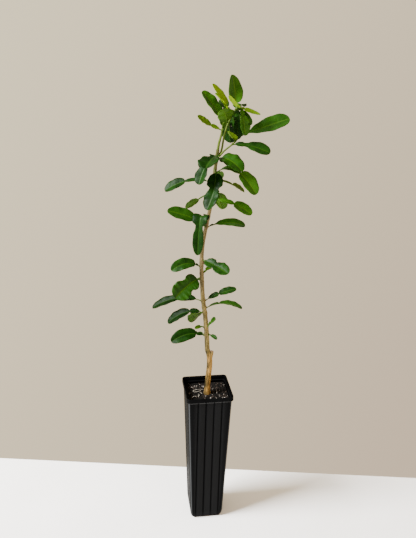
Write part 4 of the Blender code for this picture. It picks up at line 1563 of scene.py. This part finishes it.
@dataclass
class Studio:
    """Pale floor, soft lights, and the camera at the photograph's angle. Metres and radians."""

    focal_length: float = 40.15
    camera_place: Place = (-0.2058, -1.2674, 1.103)
    pitch_down: float = math.radians(19.1)
    turn: float = math.radians(-9.0)
    roll: float = math.radians(1.37)
    back_edge: tuple[tuple[float, float], ...] = ((3.2, -0.4716), (-3.2, 0.7908))
    floor_reach: float = 4.0
    wall_dim: Colour = (0.84, 0.66, 0.47)
    wall_bright: Colour = (1.26, 1.08, 0.74)
    wall_aim: Place = (-0.85, 0.0, 0.53)
    room: Colour = (0.80, 0.56, 0.41)
    window: Colour = (2.3, 1.9, 1.5)

    def build(self) -> None:
        """Make the floor, the lights, the surroundings and the camera."""
        mesh = bpy.data.meshes.new("floor")
        corners = [(-self.floor_reach, -self.floor_reach, -0.5 * MM), (self.floor_reach, -self.floor_reach, -0.5 * MM)]
        corners += [(x, y, -0.5 * MM) for x, y in self.back_edge]
        mesh.from_pydata(corners, [], [(0, 1, 2, 3)])
        floor = bpy.data.objects.new("floor", mesh)
        bpy.context.scene.collection.objects.link(floor)
        paint = GrainFinish("floor_paint", (0.89, 0.885, 0.87), (0.93, 0.925, 0.91), (0.91, 0.905, 0.89), 0.2,
                            scale=3.0, fine=60.0, roughness=0.6, relief=0.05 * MM)
        mesh.materials.append(paint.material())
        self.light("key", (-3.1, -0.55, 2.86), 1.5, 1000.0)
        self.surround()
        data = bpy.data.cameras.new("camera")
        data.lens = self.focal_length
        camera = bpy.data.objects.new("camera", data)
        bpy.context.scene.collection.objects.link(camera)
        look = Matrix.Rotation(self.turn, 4, "Z") @ Matrix.Rotation(math.pi / 2 - self.pitch_down, 4, "X")
        camera.matrix_world = Matrix.Translation(self.camera_place) @ look @ Matrix.Rotation(self.roll, 4, "Z")
        bpy.context.scene.camera = camera

    def surround(self) -> None:
        """Surround the tree with a wall, brighter towards the upper left, and before it a room with low windows."""
        world = bpy.data.worlds.new("wall")
        world.use_nodes = True
        graph = Graph(world.node_tree)
        aim = tuple(turned(np.array(self.wall_aim)))
        direction = graph.put("ShaderNodeTexCoord").outputs["Generated"]
        towards = graph.put("ShaderNodeVectorMath", {0: direction, 1: aim}, operation="DOT_PRODUCT").outputs["Value"]
        share = graph.put("ShaderNodeMapRange", {0: towards, 1: -0.56, 2: 0.33, 3: 0.0, 4: 1.0}).outputs[0]
        colour = graph.mix(share, self.wall_dim, self.wall_bright)
        _, depth, height = graph.put("ShaderNodeSeparateXYZ", {0: direction}).outputs
        before = graph.span(depth, -0.3, 0.1, 1.0, 0.0)
        colour = graph.mix(before, colour, self.room)
        low = graph.math("MULTIPLY", before, graph.span(height, 0.15, 0.5, 1.0, 0.0))
        colour = graph.mix(low, colour, self.window)
        graph.tree.links.new(colour, world.node_tree.nodes["Background"].inputs["Color"])
        bpy.context.scene.world = world

    def light(self, name: str, place: Place, size: float, power: float) -> None:
        """Hang one soft square light that looks at the tree.

        Args:
            name: Object name.
            place: Where it hangs, metres.
            size: Edge length, metres.
            power: Watts.
        """
        data = bpy.data.lights.new(name, "AREA")
        data.size = size
        data.energy = power
        lamp = bpy.data.objects.new(name, data)
        bpy.context.scene.collection.objects.link(lamp)
        lamp.location = place
        aim = Vector((0.0, 0.0, 0.6)) - Vector(place)
        lamp.rotation_euler = aim.to_track_quat("-Z", "Y").to_euler()


def main() -> None:
    """Build the potted tree piece by piece, then the studio, and note the sizes."""
    logging.basicConfig(level=logging.INFO, format="%(message)s")
    limbs = limb_growth()
    pot = Pot()
    pot.build()
    PottingMix(pot).build(limbs)
    trunk = Trunk()
    trunk.build(limbs, TRUNK_LEAVES)
    build_shoots(limbs)
    Foliage(trunk).build(limbs)
    Studio().build()


if __name__ == "__main__":
    main()
